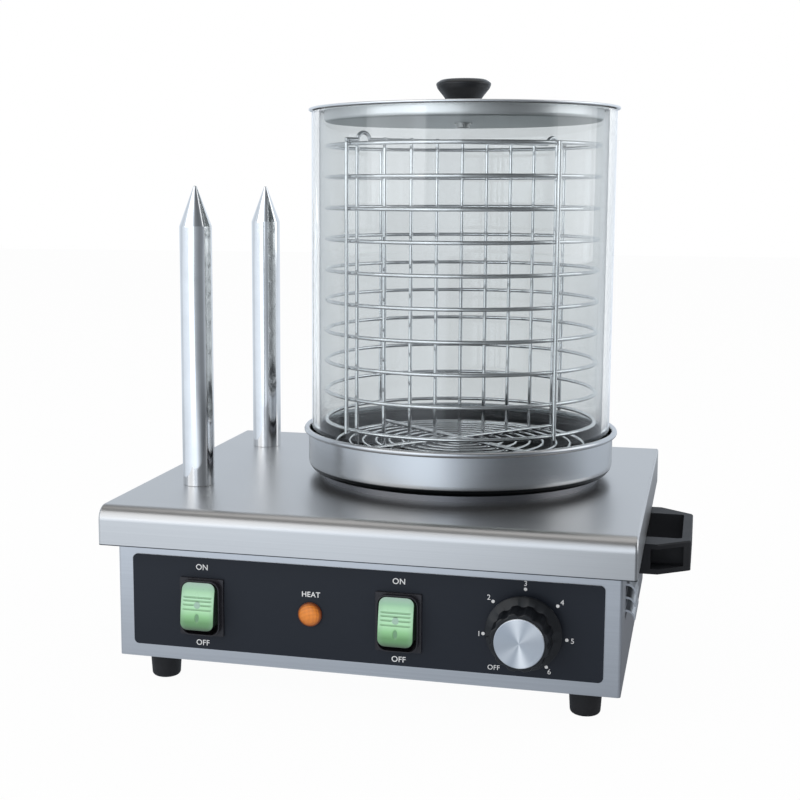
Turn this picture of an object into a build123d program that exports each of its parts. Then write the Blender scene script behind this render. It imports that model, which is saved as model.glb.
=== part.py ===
from build123d import *
import os
from math import cos, pi, radians, sin, sqrt

# A counter-top hot dog machine: a folded steel case with two heated bun spikes, and a water pan that
# carries a glass cylinder, a wire basket and a lid. The front faces -Y, and the feet stand on Z = 0.

# Overall case
foot_height = 17.9
base_sheet = 1.0
case_width = 308.0
case_depth = 264.0
case_height = 95.5
case_sheet = 1.0
case_corner = 2.0
return_width = 12.0

# Worktop
top_overhang_side = 8.0
top_overhang_front = 12.0
top_sheet = 1.2
top_flange = 24.3
top_front_round = 9.0
top_edge_round = 1.8
corner_slit = 0.7
corner_seam_end = 2.0

# Control panel
panel_side_margin = 10.0
panel_height = 57.2
panel_rise = 8.2
panel_sheet = 0.8
panel_corner = 3.0

# Rocker switches, each placed from the case's nearer side
switch_from_left = 55.3
switch_from_right = 129.6
switch_rise = 35.2
flange_side = 1.5
flange_end = 0.7
frame_plate = 1.6
frame_corner = 0.8
collar_width = 24.9
collar_height = 34.4
collar_reach = 3.5
collar_wall = 0.8
collar_corner = 6.0
switch_depth = 21.0
rocker_side_gap = 1.0
rocker_end_gap = 1.8
rocker_corner = 4.5
rocker_reach = 8.3
rocker_crown = 1.0
rocker_tilt = 10.5
rocker_pivot_depth = 5.0
pivot_pin_r = 2.0
pivot_gap = 0.05
rib_pitch = 2.35
rib_groove = 0.7
terminal_width = 6.3
terminal_length = 9.0
terminal_sheet = 0.8

# Lamp
lamp_from_left = 124.0
lamp_rise = 35.6
lamp_lens_r = 7.3
lamp_body_r = 5.6
lamp_depth = 24.0
lamp_edge = 1.2
lamp_dome = 3.2

# Thermostat
dial_from_right = 55.2
dial_rise = 36.0
dial_step = 49.5
skirt_overhang = 4.5
skirt_height = 5.0
grip_r = 17.6
grip_front = 20.0
grip_lobes = 12
lobe_depth = 1.3
knob_cap_margin = 3.2
knob_reach = 21.4
knob_standoff = 4.7
knob_hub_gap = 0.6
shaft_r = 3.0
shaft_gap = 0.06
shaft_flat = 1.2
bush_wall = 2.0
hub_wall = 3.0
thermostat_size = 36.0
thermostat_depth = 20.0
thermostat_screw_pitch = 28.0

# Louvres
louvre_count = 3
louvre_pitch = 7.9
louvre_height = 6.0
louvre_reach = 5.8
louvre_length = 38.0
louvre_top_drop = 35.6
louvre_front_inset = 29.0
louvre_sheet = 0.9

# Heating plate and pan
pan_from_right = 120.4
pan_from_rear = 117.0
plate_inset = 9.1
plate_height = 4.1
plate_hole_inset = 15.2
plate_boss_gap = 1.5
element_ring_r = 52.0
element_r = 4.2
element_gap_angle = 40.0
clamp_length = 124.0
clamp_width = 14.0
clamp_sheet = 2.5
stud_r = 3.0
pan_sheet = 0.8
glass_in_pan_gap = 1.5
pan_corner = 7.3
pan_height = 29.2
rim_bead_r = 1.9

# Glass cylinder and lid
glass_r = 100.0
glass_wall = 5.0
glass_height = 235.5
glass_edge = 1.0
seat_gap = 0.25
lid_overlap = 2.1
lid_rim = 1.6
lid_dish_gap = 3.3
lid_dish_depth = 7.6
lid_sheet = 0.8
lid_knob_r = 18.1
lid_knob_neck_r = 10.4
lid_knob_base_r = 11.5
lid_knob_height = 27.8
lid_screw_r = 2.5

# Wire goods: each wire is drawn with a six-sided section of the round wire's area
wire_r = 1.3
weld_sink = 0.25
basket_gap = 5.0
ring_count = 10
ring_first_rise = 33.5
ring_last_drop = 22.57
upright_angle = 49.0
upright_tail = 2.8
divider_bars = 9
loop_r = 4.4
loop_inset = 10.0
tail_overhang = 3.0
grill_inset = 18.8
grill_rings = 9
grill_pitch = 9.0
grill_wire_r = 1.0
grill_rim_wire_r = 1.5
grill_cross_wire_r = 1.4
grill_leg_height = 19.5
grill_leg_overhang = 2.9

# Bun spikes
spike_from_left = 28.7
spike_from_front = 67.3
spike_from_rear = 48.7
spike_r = 10.4
spike_height = 168.2
spike_tip_height = 25.8
spike_tip_r = 1.1
spike_spigot_r = 7.0
spike_spigot = 14.0
spike_bore_r = 5.1
heater_r = 5.0
heater_length = 150.0
spike_nut_width = 22.0
spike_nut_height = 6.0

# Handles
handle_top_drop = 0.4
handle_height = 19.0
handle_reach = 35.6
handle_half_base = 53.5
handle_half_tip = 38.0
handle_shoulder = 16.0
grip_gap_half = 34.0
grip_gap_in = 6.0
grip_rail = 5.8
pocket_wall = 3.2
handle_screw_r = 2.3

# Feet, gland and fasteners
foot_from_side = 21.5
foot_from_front = 23.2
foot_top_r = 10.05
foot_bottom_r = 8.9
foot_round = 2.6
gland_from_right = 54.0
gland_rise = 38.0
gland_r = 9.5
gland_bore_r = 4.2
gland_reach = 26.9
gland_inner = 8.0
screw_r = 1.9
screw_head_r = 3.6
screw_head = 2.2
screw_length = 7.0
hole_gap = 0.2

# Sizes and places worked out from the ones above
case_side = case_width / 2
top_width = case_width + 2 * top_overhang_side
top_depth = case_depth + 2 * top_overhang_front
panel_width = case_width - 2 * panel_side_margin
switch_xs = (switch_from_left - case_side, case_side - switch_from_right)
lamp_x = lamp_from_left - case_side
dial_x = case_side - dial_from_right
pan_x = case_side - pan_from_right
pan_y = case_depth / 2 - pan_from_rear
spike_x = spike_from_left - case_side
spike_ys = (spike_from_front - case_depth / 2, case_depth / 2 - spike_from_rear)
foot_x = case_side - foot_from_side
foot_y = case_depth / 2 - foot_from_front
gland_x = case_side - gland_from_right
frame_width = collar_width + 2 * flange_side
frame_height = collar_height + 2 * flange_end
skirt_r = grip_r + skirt_overhang
knob_cap_r = grip_r - knob_cap_margin
rocker_width = collar_width - 2 * (collar_wall + rocker_side_gap)
rocker_height = collar_height - 2 * (collar_wall + rocker_end_gap)
pan_outer_r = glass_r + glass_in_pan_gap + pan_sheet
plate_r = pan_outer_r - plate_inset
plate_hole_r = plate_r - plate_hole_inset
lid_r = glass_r + lid_overlap
lid_dish_r = glass_r - glass_wall - lid_dish_gap
ring_r = glass_r - glass_wall - basket_gap
loop_from_centre = ring_r - loop_inset
tail_reach = ring_r + tail_overhang
grill_r = pan_outer_r - grill_inset
grill_leg_r = grill_r + grill_leg_overhang
divider_pitch = 2 * (loop_from_centre + loop_r + 0.2) / (divider_bars - 1)
case_bottom = foot_height + base_sheet
case_top = case_bottom + case_height
top_z = case_top + top_sheet
case_front = -case_depth / 2
panel_front = case_front - panel_sheet
panel_z = case_bottom + panel_rise + panel_height / 2
switch_z = case_bottom + switch_rise
lamp_z = case_bottom + lamp_rise
dial_z = case_bottom + dial_rise
plate_z = top_z + plate_height
pan_floor = plate_z + pan_sheet
pan_inner_r = pan_outer_r - pan_sheet
pan_inner_corner = pan_corner - pan_sheet
rim_z = plate_z + pan_height - rim_bead_r
# The glass's rounded foot lies in the rounded corner of the pan, so its height follows from both rounds
corner_reach = pan_inner_corner - glass_edge - seat_gap
corner_offset = (glass_r - glass_edge) - (pan_inner_r - pan_inner_corner)
glass_z = pan_floor + pan_inner_corner - glass_edge - sqrt(corner_reach ** 2 - corner_offset ** 2)
lid_z = glass_z + glass_height + seat_gap
lid_floor = lid_z - lid_dish_depth
ring_first = pan_floor + ring_first_rise
ring_last = glass_z + glass_height - ring_last_drop
ring_pitch = (ring_last - ring_first) / (ring_count - 1)
gland_z = case_bottom + gland_rise


def save(shape, node):
    """Write one node's solids to its own file."""
    export_step(shape, f"parts/{node}.step")


def group(solids):
    """Put separate solids that share one node into one compound."""
    return Compound(children=list(solids))


def tube(r, z0, z1, x=0.0, y=0.0):
    """A round bar along Z between two heights."""
    return Pos(x, y, (z0 + z1) / 2) * Cylinder(r, z1 - z0)


def bar_y(r, y0, y1, x=0.0, z=0.0):
    """A round bar along Y between two depths."""
    return Pos(x, (y0 + y1) / 2, z) * Rot(90, 0, 0) * Cylinder(r, y1 - y0)


def bar_x(r, x0, x1, y=0.0, z=0.0):
    """A round bar along X between two ends."""
    return Pos((x0 + x1) / 2, y, z) * Rot(0, 90, 0) * Cylinder(r, x1 - x0)


def box(x0, x1, y0, y1, z0, z1):
    """A block between two corners."""
    return Pos((x0 + x1) / 2, (y0 + y1) / 2, (z0 + z1) / 2) * Box(x1 - x0, y1 - y0, z1 - z0)


def front_prism(width, height, corner, y0, y1, x, z):
    """A prism along Y whose front outline is a rectangle with rounded corners."""
    outline = Plane.XZ * RectangleRounded(width, height, corner)
    return Pos(x, y1, z) * extrude(outline, y1 - y0)


def turned(points, x=0.0, y=0.0):
    """A solid turned about a Z axis from its half profile of (radius, height) points."""
    face = make_face(Polyline(*[(r, 0, z) for r, z in points], close=True))
    return Pos(x, y, 0) * revolve(face, Axis.Z, 360)


def hexagon_nut(width, z0, z1, bore_r, x=0.0, y=0.0):
    """A hexagonal nut along Z with a plain bore."""
    nut = Pos(x, y, z0) * extrude(RegularPolygon(width / 2, 6, major_radius=False), z1 - z0)
    return nut - tube(bore_r, z0 - 1, z1 + 1, x, y)


def pan_head_screw(length):
    """A screw with a domed head, head up, whose head sits on Z = 0."""
    return turned([(0, -length), (screw_r, -length), (screw_r, 0), (screw_head_r, 0),
                   (screw_head_r, screw_head * 0.4), (screw_head_r * 0.7, screw_head), (0, screw_head)])


def round_wire(r, start, end):
    """A straight wire between two points."""
    along = Vector(*end) - Vector(*start)
    plane = Plane(origin=start, z_dir=along)
    return extrude(plane * RegularPolygon(wire_section_r(r), 6), along.length)


def wire_section_r(r):
    """Corner radius of a hexagon with the area of a round wire of radius r."""
    return r * sqrt(pi / (1.5 * sqrt(3)))


def wire_ring(ring_radius, r, z):
    """A closed wire ring about the pan's axis."""
    section = Plane.XZ * Pos(ring_radius, 0) * RegularPolygon(wire_section_r(r), 6)
    return Pos(pan_x, pan_y, z) * revolve(section, Axis.Z, 360)


def on_spoke(angle, radius, z):
    """A point at a radius and an angle about the pan's axis."""
    return (pan_x + radius * cos(radians(angle)), pan_y + radius * sin(radians(angle)), z)


# Case


def worktop():
    """Folded worktop: a shell with a large front round, corner slits, holes and welded studs."""
    bottom = top_z - top_flange
    outer = box(-top_width / 2, top_width / 2, -top_depth / 2, top_depth / 2, bottom, top_z)
    inner = box(-top_width / 2 + top_sheet, top_width / 2 - top_sheet,
                -top_depth / 2 + top_sheet, top_depth / 2 - top_sheet, bottom, top_z - top_sheet)

    def rounded(block, front, other):
        top_edges = block.faces().sort_by(Axis.Z)[-1].edges()
        front_edge = top_edges.sort_by(Axis.Y)[0]
        block = fillet(front_edge, front)
        rest = block.faces().sort_by(Axis.Z)[-1].edges().sort_by(Axis.Y)[1:]
        return fillet(rest, other)

    shell = rounded(outer, top_front_round, top_edge_round)
    shell -= rounded(inner, top_front_round - top_sheet, top_edge_round - top_sheet)
    shell = shell.solid()
    slit_y = -top_depth / 2 + top_sheet
    round_y, round_z = -top_depth / 2 + top_front_round, top_z - top_front_round
    slit_r = top_front_round - top_sheet
    bend = bar_x(slit_r, 0, 2 * top_sheet, round_y, round_z)
    bend -= bar_x(slit_r - corner_slit, -1, 2 * top_sheet + 1, round_y, round_z)
    bend &= box(0, 2 * top_sheet, slit_y - 1, round_y - corner_seam_end, round_z, top_z)
    for side in (-1, 1):
        edge = side * top_width / 2
        shell -= box(edge - 2 * top_sheet, edge + 2 * top_sheet, slit_y, slit_y + corner_slit,
                     bottom - 1, round_z)
        shell -= Pos(edge - top_sheet, 0, 0) * bend
    shell -= tube(plate_hole_r, top_z - 2 * top_sheet, top_z + 1, pan_x, pan_y)
    for y in spike_ys:
        shell -= tube(spike_spigot_r + hole_gap, top_z - 2 * top_sheet, top_z + 1, spike_x, y)
    for x, y in worktop_stud_places():
        shell += tube(screw_r, case_top - 10, case_top + top_sheet / 2, x, y)
    return shell


def worktop_stud_places():
    """Where the worktop's welded studs pass through the case's returns."""
    x = case_width / 2 - case_sheet - return_width / 2
    y = case_depth / 2 - 30
    return [(sx * x, sy * y) for sx in (-1, 1) for sy in (-1, 1)]


def worktop_nuts():
    """Nuts under the case's returns that hold the worktop down."""
    z = case_top - case_sheet
    return group(hexagon_nut(7.0, z - 3.2, z, screw_r + hole_gap / 2, x, y) for x, y in worktop_stud_places())


def switch_cut(y0, y1, x):
    """The opening that a switch's collar passes through."""
    return front_prism(collar_width + 2 * hole_gap, collar_height + 2 * hole_gap, collar_corner, y0, y1, x, switch_z)


def front_openings(y0, y1):
    """All the openings that pass through the panel and the case's front."""
    cuts = [switch_cut(y0, y1, x) for x in switch_xs]
    cuts.append(bar_y(lamp_body_r + hole_gap, y0, y1, lamp_x, lamp_z))
    cuts.append(bar_y(shaft_r + bush_wall + hole_gap, y0, y1, dial_x, dial_z))
    for side in (-1, 1):
        cuts.append(bar_y(screw_r + hole_gap, y0, y1, dial_x + side * thermostat_screw_pitch / 2, dial_z))
    return cuts


def louvre_places():
    """Start depth and top height of each louvre on a side."""
    front = case_front + louvre_front_inset
    back = -front - louvre_length
    tops = [case_top - louvre_top_drop + i * -louvre_pitch for i in range(louvre_count)]
    return [(y, z) for y in (front, back) for z in tops]


def louvre_hood(y, z):
    """One pressed hood on the right side: it curves out and down from its top, open below and at its ends."""
    side, low = case_width / 2, z - louvre_height
    t = louvre_sheet

    def at(out, height):
        return (side + out, y, height)

    out, high = 0.72 * louvre_reach, z - 0.31 * louvre_height
    skin = ThreePointArc(at(0, z), at(out, high), at(louvre_reach, low))
    inside = ThreePointArc(at(louvre_reach - t, low), at(out - 0.8 * t, high - 0.8 * t),
                           at(-case_sheet, z - 2 * t))
    edges = [skin, Line(at(louvre_reach, low), at(louvre_reach - t, low)), inside,
             Line(at(-case_sheet, z - 2 * t), at(-case_sheet, z)), Line(at(-case_sheet, z), at(0, z))]
    return extrude(make_face(Wire(edges)), louvre_length, dir=(0, 1, 0))


def casing():
    """Folded front and sides with inward returns, the front's openings and the louvres."""
    z0, z1 = case_bottom, case_top
    half, front, back = case_width / 2, case_front, case_depth / 2 - case_sheet
    outer = box(-half, half, front, back, z0, z1)
    outer = fillet(outer.edges().filter_by(Axis.Z).sort_by(Axis.Y)[:2], case_corner)
    inner = box(-half + case_sheet, half - case_sheet, front + case_sheet, back - case_sheet,
                z0 + case_sheet, z1 - case_sheet)
    inner = fillet(inner.edges().filter_by(Axis.Z).sort_by(Axis.Y)[:2], case_corner - case_sheet)
    lip = case_sheet + return_width
    shell = outer - inner
    shell -= box(-half + lip, half - lip, front + lip, back + 1, z0 - 1, z1 + 1)
    for cut in front_openings(front - 1, front + 2 * case_sheet):
        shell -= cut
    shell = shell.solid()
    for side in (-1, 1):
        for y, z in louvre_places():
            hood = louvre_hood(y, z)
            x0, x1 = half - 2 * case_sheet, half + 0.5
            slot = box(x0, x1, y, y + louvre_length, z - louvre_height, z - 2 * louvre_sheet)
            if side < 0:
                hood = mirror(hood, about=Plane.YZ)
                slot = mirror(slot, about=Plane.YZ)
            shell = shell - slot + hood
    for x, y in worktop_stud_places():
        shell -= tube(screw_r + hole_gap, z1 - 2 * case_sheet, z1 + 1, x, y)
    for x, y in base_screw_places():
        shell -= tube(screw_r + hole_gap, z0 - 1, z0 + 2 * case_sheet, x, y)
    for x, z in rear_screw_places():
        shell -= bar_y(screw_r + hole_gap, back - 2 * case_sheet, back + 1, x, z)
    for x, y, z in handle_screw_places():
        shell -= bar_x(handle_screw_r + hole_gap, x - 3, x + 3, y, z)
    return shell


def base_screw_places():
    """Screws that hold the base plate to the bottom returns."""
    x = case_width / 2 - case_sheet - return_width / 2
    ys = (-case_depth / 2 + 45, 0, case_depth / 2 - 45)
    return [(side * x, y) for side in (-1, 1) for y in ys]


def rear_screw_places():
    """Screws that hold the rear panel to the side returns."""
    x = case_width / 2 - case_sheet - return_width / 2
    zs = (case_bottom + 14, case_top - 38)
    return [(side * x, z) for side in (-1, 1) for z in zs]


def base_plate():
    """Flat bottom sheet with holes for its screws and the feet's screws, and ventilation slots."""
    inset = 3.0
    plate = box(-case_width / 2 + inset, case_width / 2 - inset, case_front + inset,
                case_depth / 2 - inset, foot_height, case_bottom)
    for x, y in base_screw_places():
        plate -= tube(screw_r + hole_gap, foot_height - 1, case_bottom + 1, x, y)
    for x, y in foot_places():
        plate -= tube(screw_r + hole_gap, foot_height - 1, case_bottom + 1, x, y)
    slot = Pos(0, 0, foot_height - 1) * extrude(SlotOverall(46, 5), base_sheet + 2)
    for i in range(5):
        plate -= Pos(-40, -36 + 18 * i, 0) * slot
    return plate.solid()


def rear_panel():
    """Flat sheet that closes the back, with the cord gland's hole and a row of slots."""
    back = case_depth / 2
    panel = box(-case_width / 2 + 0.6, case_width / 2 - 0.6, back - case_sheet, back,
                case_bottom + 0.3, top_z - top_flange - 1.0)
    panel -= bar_y(gland_bore_r + 2.2 + hole_gap, back - 3, back + 1, gland_x, gland_z)
    for x, z in rear_screw_places():
        panel -= bar_y(screw_r + hole_gap, back - 3, back + 1, x, z)
    slot = extrude(Plane.XZ * SlotOverall(30, 4, rotation=90), 4)
    for i in range(6):
        panel -= Pos(-90 + 14 * i, back + 1, case_bottom + 38) * slot
    return panel.solid()


def screws_at(places, turn):
    """Domed-head screws at (x, y, z) head seats, all turned the same way."""
    screw = pan_head_screw(screw_length)
    return group(Pos(*place) * turn * screw for place in places)


# Controls


def control_panel():
    """Black front plate with rounded corners over the case's front."""
    plate = front_prism(panel_width, panel_height, panel_corner, panel_front, case_front, 0, panel_z)
    for cut in front_openings(panel_front - 1, case_front + 1):
        plate -= cut
    return plate.solid()


def switch_frame(x):
    """Square flange with a raised collar, and the deep body behind it with pivot and terminal holes."""
    front = panel_front - frame_plate
    body = front_prism(frame_width, frame_height, frame_corner, front, panel_front, x, switch_z)
    body += front_prism(collar_width, collar_height, collar_corner, front - collar_reach,
                        front + switch_depth, x, switch_z)
    inner_corner = collar_corner - collar_wall
    body -= front_prism(collar_width - 2 * collar_wall, collar_height - 2 * collar_wall, inner_corner,
                        front - collar_reach - 1, front + switch_depth - 2, x, switch_z)
    pivot_y = front + rocker_pivot_depth
    body -= bar_x(pivot_pin_r + pivot_gap, x - collar_width, x + collar_width, pivot_y, switch_z)
    for z in terminal_heights():
        body -= box(x - terminal_width / 2 - hole_gap, x + terminal_width / 2 + hole_gap,
                    front + switch_depth - 3, front + switch_depth + 1,
                    z - terminal_sheet / 2 - hole_gap, z + terminal_sheet / 2 + hole_gap)
    rim = body.faces().sort_by(Axis.Y)[0]
    body = fillet(rim.outer_wire().edges(), 0.3)
    return body.solid()


def terminal_heights():
    """Heights of a switch's three blade terminals."""
    return [switch_z + dz for dz in (-9.0, 0.0, 9.0)]


def switch_terminals(x):
    """Blade terminals that stand out of the switch's back."""
    end = panel_front - frame_plate + switch_depth
    blades = [box(x - terminal_width / 2, x + terminal_width / 2, end - 1.9, end + terminal_length,
                  z - terminal_sheet / 2, z + terminal_sheet / 2) for z in terminal_heights()]
    return group(blades)


def rocker(x):
    """Rocker with a domed face, four grooves, a round boss and an oval mark, tipped to its on side."""
    half = rocker_height / 2
    pin_end = collar_width / 2 - 0.15
    face_u = rocker_reach + rocker_pivot_depth
    edge_u = face_u - rocker_crown
    arc = ThreePointArc((0, -edge_u, -half), (0, -face_u, 0), (0, -edge_u, half))
    below = [(edge_u, 0.0), (edge_u - 3.0, 1.2), (1.5, 2.2)]
    lower = [(0, -u, half - inset) for u, inset in below] + [(0, 4.0, 5.0), (0, 4.0, -5.0)]
    lower += [(0, -u, inset - half) for u, inset in below[::-1]]
    lower = Polyline(*lower)
    side = make_face(Wire([arc] + list(lower.edges())))
    solid = extrude(side, rocker_width / 2, both=True)
    outline = extrude(Plane.XZ * RectangleRounded(rocker_width, rocker_height, rocker_corner), 40, both=True)
    solid = (solid & outline).solid()
    for i in range(4):
        z = (i - 1.5) * rib_pitch + 1.7
        u = face_u - rocker_crown * (z / half) ** 2
        solid -= Pos(0, -u, z) * Box(rocker_width - 3.0, 2 * 0.45, rib_groove)
    boss_z = 0.6
    solid += bar_y(2.3, -face_u - 0.15, -face_u + 2, 0, boss_z)
    mark = extrude(Plane.XZ * SlotOverall(6.2, 3.2, rotation=90), 2)
    solid -= Pos(0, -face_u + 1.3, -7.6) * mark
    for sign in (-1, 1):
        solid += bar_x(pivot_pin_r, min(0, sign * pin_end), max(0, sign * pin_end))
    pivot_y = panel_front - frame_plate + rocker_pivot_depth
    return Pos(x, pivot_y, switch_z) * Rot(-rocker_tilt, 0, 0) * solid.solid()


def lamp_lens():
    """Low round lens with a stepped edge."""
    r, edge, top = lamp_lens_r, lamp_edge, lamp_edge + lamp_dome
    dome = Spline((r, edge), (r * 0.72, edge + lamp_dome * 0.58), (0, top), tangents=[(-0.5, 1), (-1, 0)])
    sides = Polyline((0, top), (0, 0), (r, 0), (r, edge))
    lens = revolve(Plane.XZ * make_face(Wire([dome] + list(sides.edges()))), Axis.Z, 360)
    return Pos(lamp_x, panel_front, lamp_z) * Rot(90, 0, 0) * lens.solid()


def lamp_body():
    """Lamp holder behind the lens."""
    body = bar_y(lamp_body_r, panel_front, panel_front + lamp_depth, lamp_x, lamp_z)
    for side in (-1, 1):
        body += box(lamp_x + side * 2.5 - 1.4, lamp_x + side * 2.5 + 1.4, panel_front + lamp_depth - 0.5,
                    panel_front + lamp_depth + 7, lamp_z - 0.4, lamp_z + 0.4)
    return body.solid()


def front_nut(width, height, bore_r, x, z):
    """A hexagonal nut behind the case's front, along Y."""
    nut = hexagon_nut(width, 0, height, bore_r)
    return Pos(x, case_front + case_sheet, z) * Rot(-90, 0, 0) * nut


def thermostat_body():
    """Thermostat switch behind the case's front, with its bush and bored for the shaft."""
    back_of_front = case_front + case_sheet
    size = thermostat_size
    body = box(dial_x - size / 2, dial_x + size / 2, back_of_front, back_of_front + thermostat_depth,
               dial_z - size / 2, dial_z + size / 2)
    body = fillet(body.edges().filter_by(Axis.Y), 4)
    body += bar_y(shaft_r + bush_wall, panel_front, back_of_front + 1, dial_x, dial_z)
    body -= bar_y(shaft_r + shaft_gap, panel_front - 1, back_of_front + thermostat_depth - 3, dial_x, dial_z)
    for side in (-1, 1):
        body -= bar_y(screw_r + 0.1, back_of_front - 1, back_of_front + 8,
                      dial_x + side * thermostat_screw_pitch / 2, dial_z)
    return body.solid()


def thermostat_shaft():
    """Turning shaft from inside the thermostat into the knob, with a flat at its front."""
    inner_end = panel_front - knob_standoff - (case_front + case_sheet + thermostat_depth - 3.5)
    shaft = tube(shaft_r, inner_end, grip_front - 4)
    shaft -= box(-5, 5, shaft_r - shaft_flat, 5, grip_front - 13, grip_front)
    return place_on_dial(shaft.solid())


def pointer_turn():
    """Turn about the dial's axis that brings the pointer from straight up to the mark for 1."""
    return -2 * dial_step


def knob():
    """Skirted knob: sloping skirt with a pointer rib, and a grip with twelve hollow flutes."""
    skirt = turned([(0, 1.2), (skirt_r, 1.2), (skirt_r, 2.6), (grip_r, skirt_height), (0, skirt_height)])
    lobe_r = 3.6
    grip = extrude(Circle(grip_r), grip_front, taper=1.0)
    for i in range(grip_lobes):
        angle = 2 * pi * i / grip_lobes
        reach = grip_r - lobe_depth + lobe_r
        flute = tube(lobe_r, skirt_height, grip_front + 1, reach * cos(angle), reach * sin(angle))
        grip -= flute
    body = skirt + grip
    body -= tube(knob_cap_r + 0.15, grip_front - 0.8, grip_front + 2)
    hub_r = shaft_r + hub_wall
    hub_back = knob_hub_gap - knob_standoff
    body -= tube(skirt_r - 2.6, -1, 3.2) - tube(hub_r, -1, 3.2)
    body += tube(hub_r, hub_back, 3.2)
    bore = tube(shaft_r + 0.05, hub_back - 1, grip_front - 3.8)
    bore -= box(-5, 5, shaft_r - shaft_flat + 0.05, 5, grip_front - 12.6, grip_front)
    body -= bore
    body += box(-0.7, 0.7, grip_r - 1.2, skirt_r - 0.3, 2.6, 4.4)
    return place_on_dial(body.solid())


def knob_cap():
    """Turned aluminium disc set in the knob's front."""
    disc = extrude(Circle(knob_cap_r), knob_reach - grip_front + 0.8)
    disc = chamfer(disc.faces().sort_by(Axis.Z)[-1].edges(), 0.4)
    return place_on_dial(Pos(0, 0, grip_front - 0.8) * disc)


def place_on_dial(solid):
    """Stand a solid drawn along Z in front of the panel at the dial, turned to the rest mark."""
    place = Pos(dial_x, panel_front - knob_standoff, dial_z)
    return place * Rot(90, 0, 0) * Rot(0, 0, -pointer_turn()) * solid


def thermostat_bulb():
    """Sensing bulb against the underside of the heating plate, with its capillary tube to the thermostat."""
    bulb_r, half = 3.0, 20.0
    x = pan_x + element_ring_r + element_r + bulb_r + 2
    z = top_z - top_sheet - bulb_r
    bulb = bar_y(bulb_r, pan_y - half, pan_y + half, x, z)
    start = (dial_x - 8, case_front + case_sheet + thermostat_depth, dial_z + 6)
    path = Spline(start, (dial_x - 8, start[1] + 24, dial_z + 10), (x, pan_y - half - 34, z - 14),
                  (x, pan_y - half + 1, z), tangents=[(0, 1, 0), (0, 1, 0)])
    capillary = sweep(Plane(origin=start, z_dir=(0, 1, 0)) * RegularPolygon(1.1, 6), path=path)
    return (bulb + capillary).solid()


# Heating plate, pan and what stands in it


def heating_plate():
    """Round plate on the worktop with a chamfered edge and a short boss for its stud."""
    plate = turned([(0, top_z), (plate_r, top_z), (plate_r, plate_z - 0.8), (plate_r - 0.8, plate_z),
                    (0, plate_z)], pan_x, pan_y)
    plate += tube(plate_hole_r - plate_boss_gap, top_z - top_sheet, top_z + 0.5, pan_x, pan_y)
    return plate.solid()


def plate_stud():
    """Threaded stud screwed into the plate's middle."""
    return tube(stud_r, top_z - 22, top_z - top_sheet, pan_x, pan_y)


def ring_element():
    """Tubular element bent to an open ring, pressed against the plate's underside."""
    z = top_z - top_sheet - element_r
    section = Plane.XZ * Pos(element_ring_r, 0) * Circle(element_r)
    ring = revolve(section, Axis.Z, 360 - element_gap_angle)
    ring = Rot(0, 0, 90 + element_gap_angle / 2) * ring
    for sign in (-1, 1):
        angle = radians(90 + sign * element_gap_angle / 2)
        end = (element_ring_r * cos(angle), element_ring_r * sin(angle))
        ring += tube(element_r * 0.98, -element_r - 14, 0, *end)
        ring += tube(1.6, -element_r - 22, -element_r - 13, *end)
        ring += Pos(end[0], end[1], 0) * Sphere(element_r * 0.98)
    return Pos(pan_x, pan_y, z) * ring.solid()


def clamp_bar():
    """Flat bar under the element, bored for the stud."""
    z = top_z - top_sheet - 2 * element_r
    bar = box(pan_x - clamp_length / 2, pan_x + clamp_length / 2, pan_y - clamp_width / 2,
              pan_y + clamp_width / 2, z - clamp_sheet, z)
    bar = fillet(bar.edges().filter_by(Axis.Z), clamp_width / 2 - 1)
    return (bar - tube(stud_r + 0.3, z - 9, z + 1, pan_x, pan_y)).solid()


def clamp_nut():
    """Nut that draws the clamp bar up against the element."""
    z = top_z - top_sheet - 2 * element_r - clamp_sheet
    return hexagon_nut(10.0, z - 5, z, stud_r + 0.1, pan_x, pan_y)


def safety_cutout():
    """Button thermostat against the plate's underside."""
    x, y = pan_x - 18, pan_y + 22
    z = top_z - top_sheet
    body = tube(8.0, z - 9, z, x, y)
    for side in (-1, 1):
        body += box(x + side * 5 - 2.4, x + side * 5 + 2.4, y - 0.4, y + 0.4, z - 16, z - 8.5)
    return body.solid()


def pan():
    """Spun pan: one thin profile turned about the axis, with a round corner and a rolled rim."""
    r, t, c = pan_outer_r, pan_sheet, pan_corner
    z = plate_z
    outer = [Line((0, z), (r - c, z)), RadiusArc((r - c, z), (r, z + c), -c), Line((r, z + c), (r, rim_z))]
    inner = [Line((r, rim_z), (r - t, rim_z)), Line((r - t, rim_z), (r - t, z + c)),
             RadiusArc((r - t, z + c), (r - c, z + t), c - t), Line((r - c, z + t), (0, z + t)),
             Line((0, z + t), (0, z))]
    body = revolve(Plane.XZ * make_face(Wire(outer + inner)), Axis.Z, 360)
    bead = Pos(0, 0, rim_z) * Torus(pan_outer_r + 0.5, rim_bead_r)
    return Pos(pan_x, pan_y, 0) * (body + bead).solid()


def grill():
    """Steam grill: wire rings welded under a wire cross whose ends bend down as legs."""
    cross_z = pan_floor + seat_gap + grill_leg_height
    wires = None
    for angle in (upright_angle, upright_angle + 90):
        a = on_spoke(angle, grill_leg_r, cross_z)
        b = on_spoke(angle + 180, grill_leg_r, cross_z)
        spoke = round_wire(grill_cross_wire_r, a, b)
        wires = spoke if wires is None else wires + spoke
    for i in range(4):
        x, y, z = on_spoke(upright_angle + 90 * i, grill_leg_r, cross_z)
        wires += round_wire(grill_cross_wire_r, (x, y, pan_floor + seat_gap), (x, y, z + grill_cross_wire_r * 0.9))
    for i in range(grill_rings):
        r = grill_rim_wire_r if i == 0 else grill_wire_r
        z = cross_z - grill_cross_wire_r - r + weld_sink
        wires += wire_ring(grill_r - i * grill_pitch, r, z)
    return wires.solid()


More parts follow.
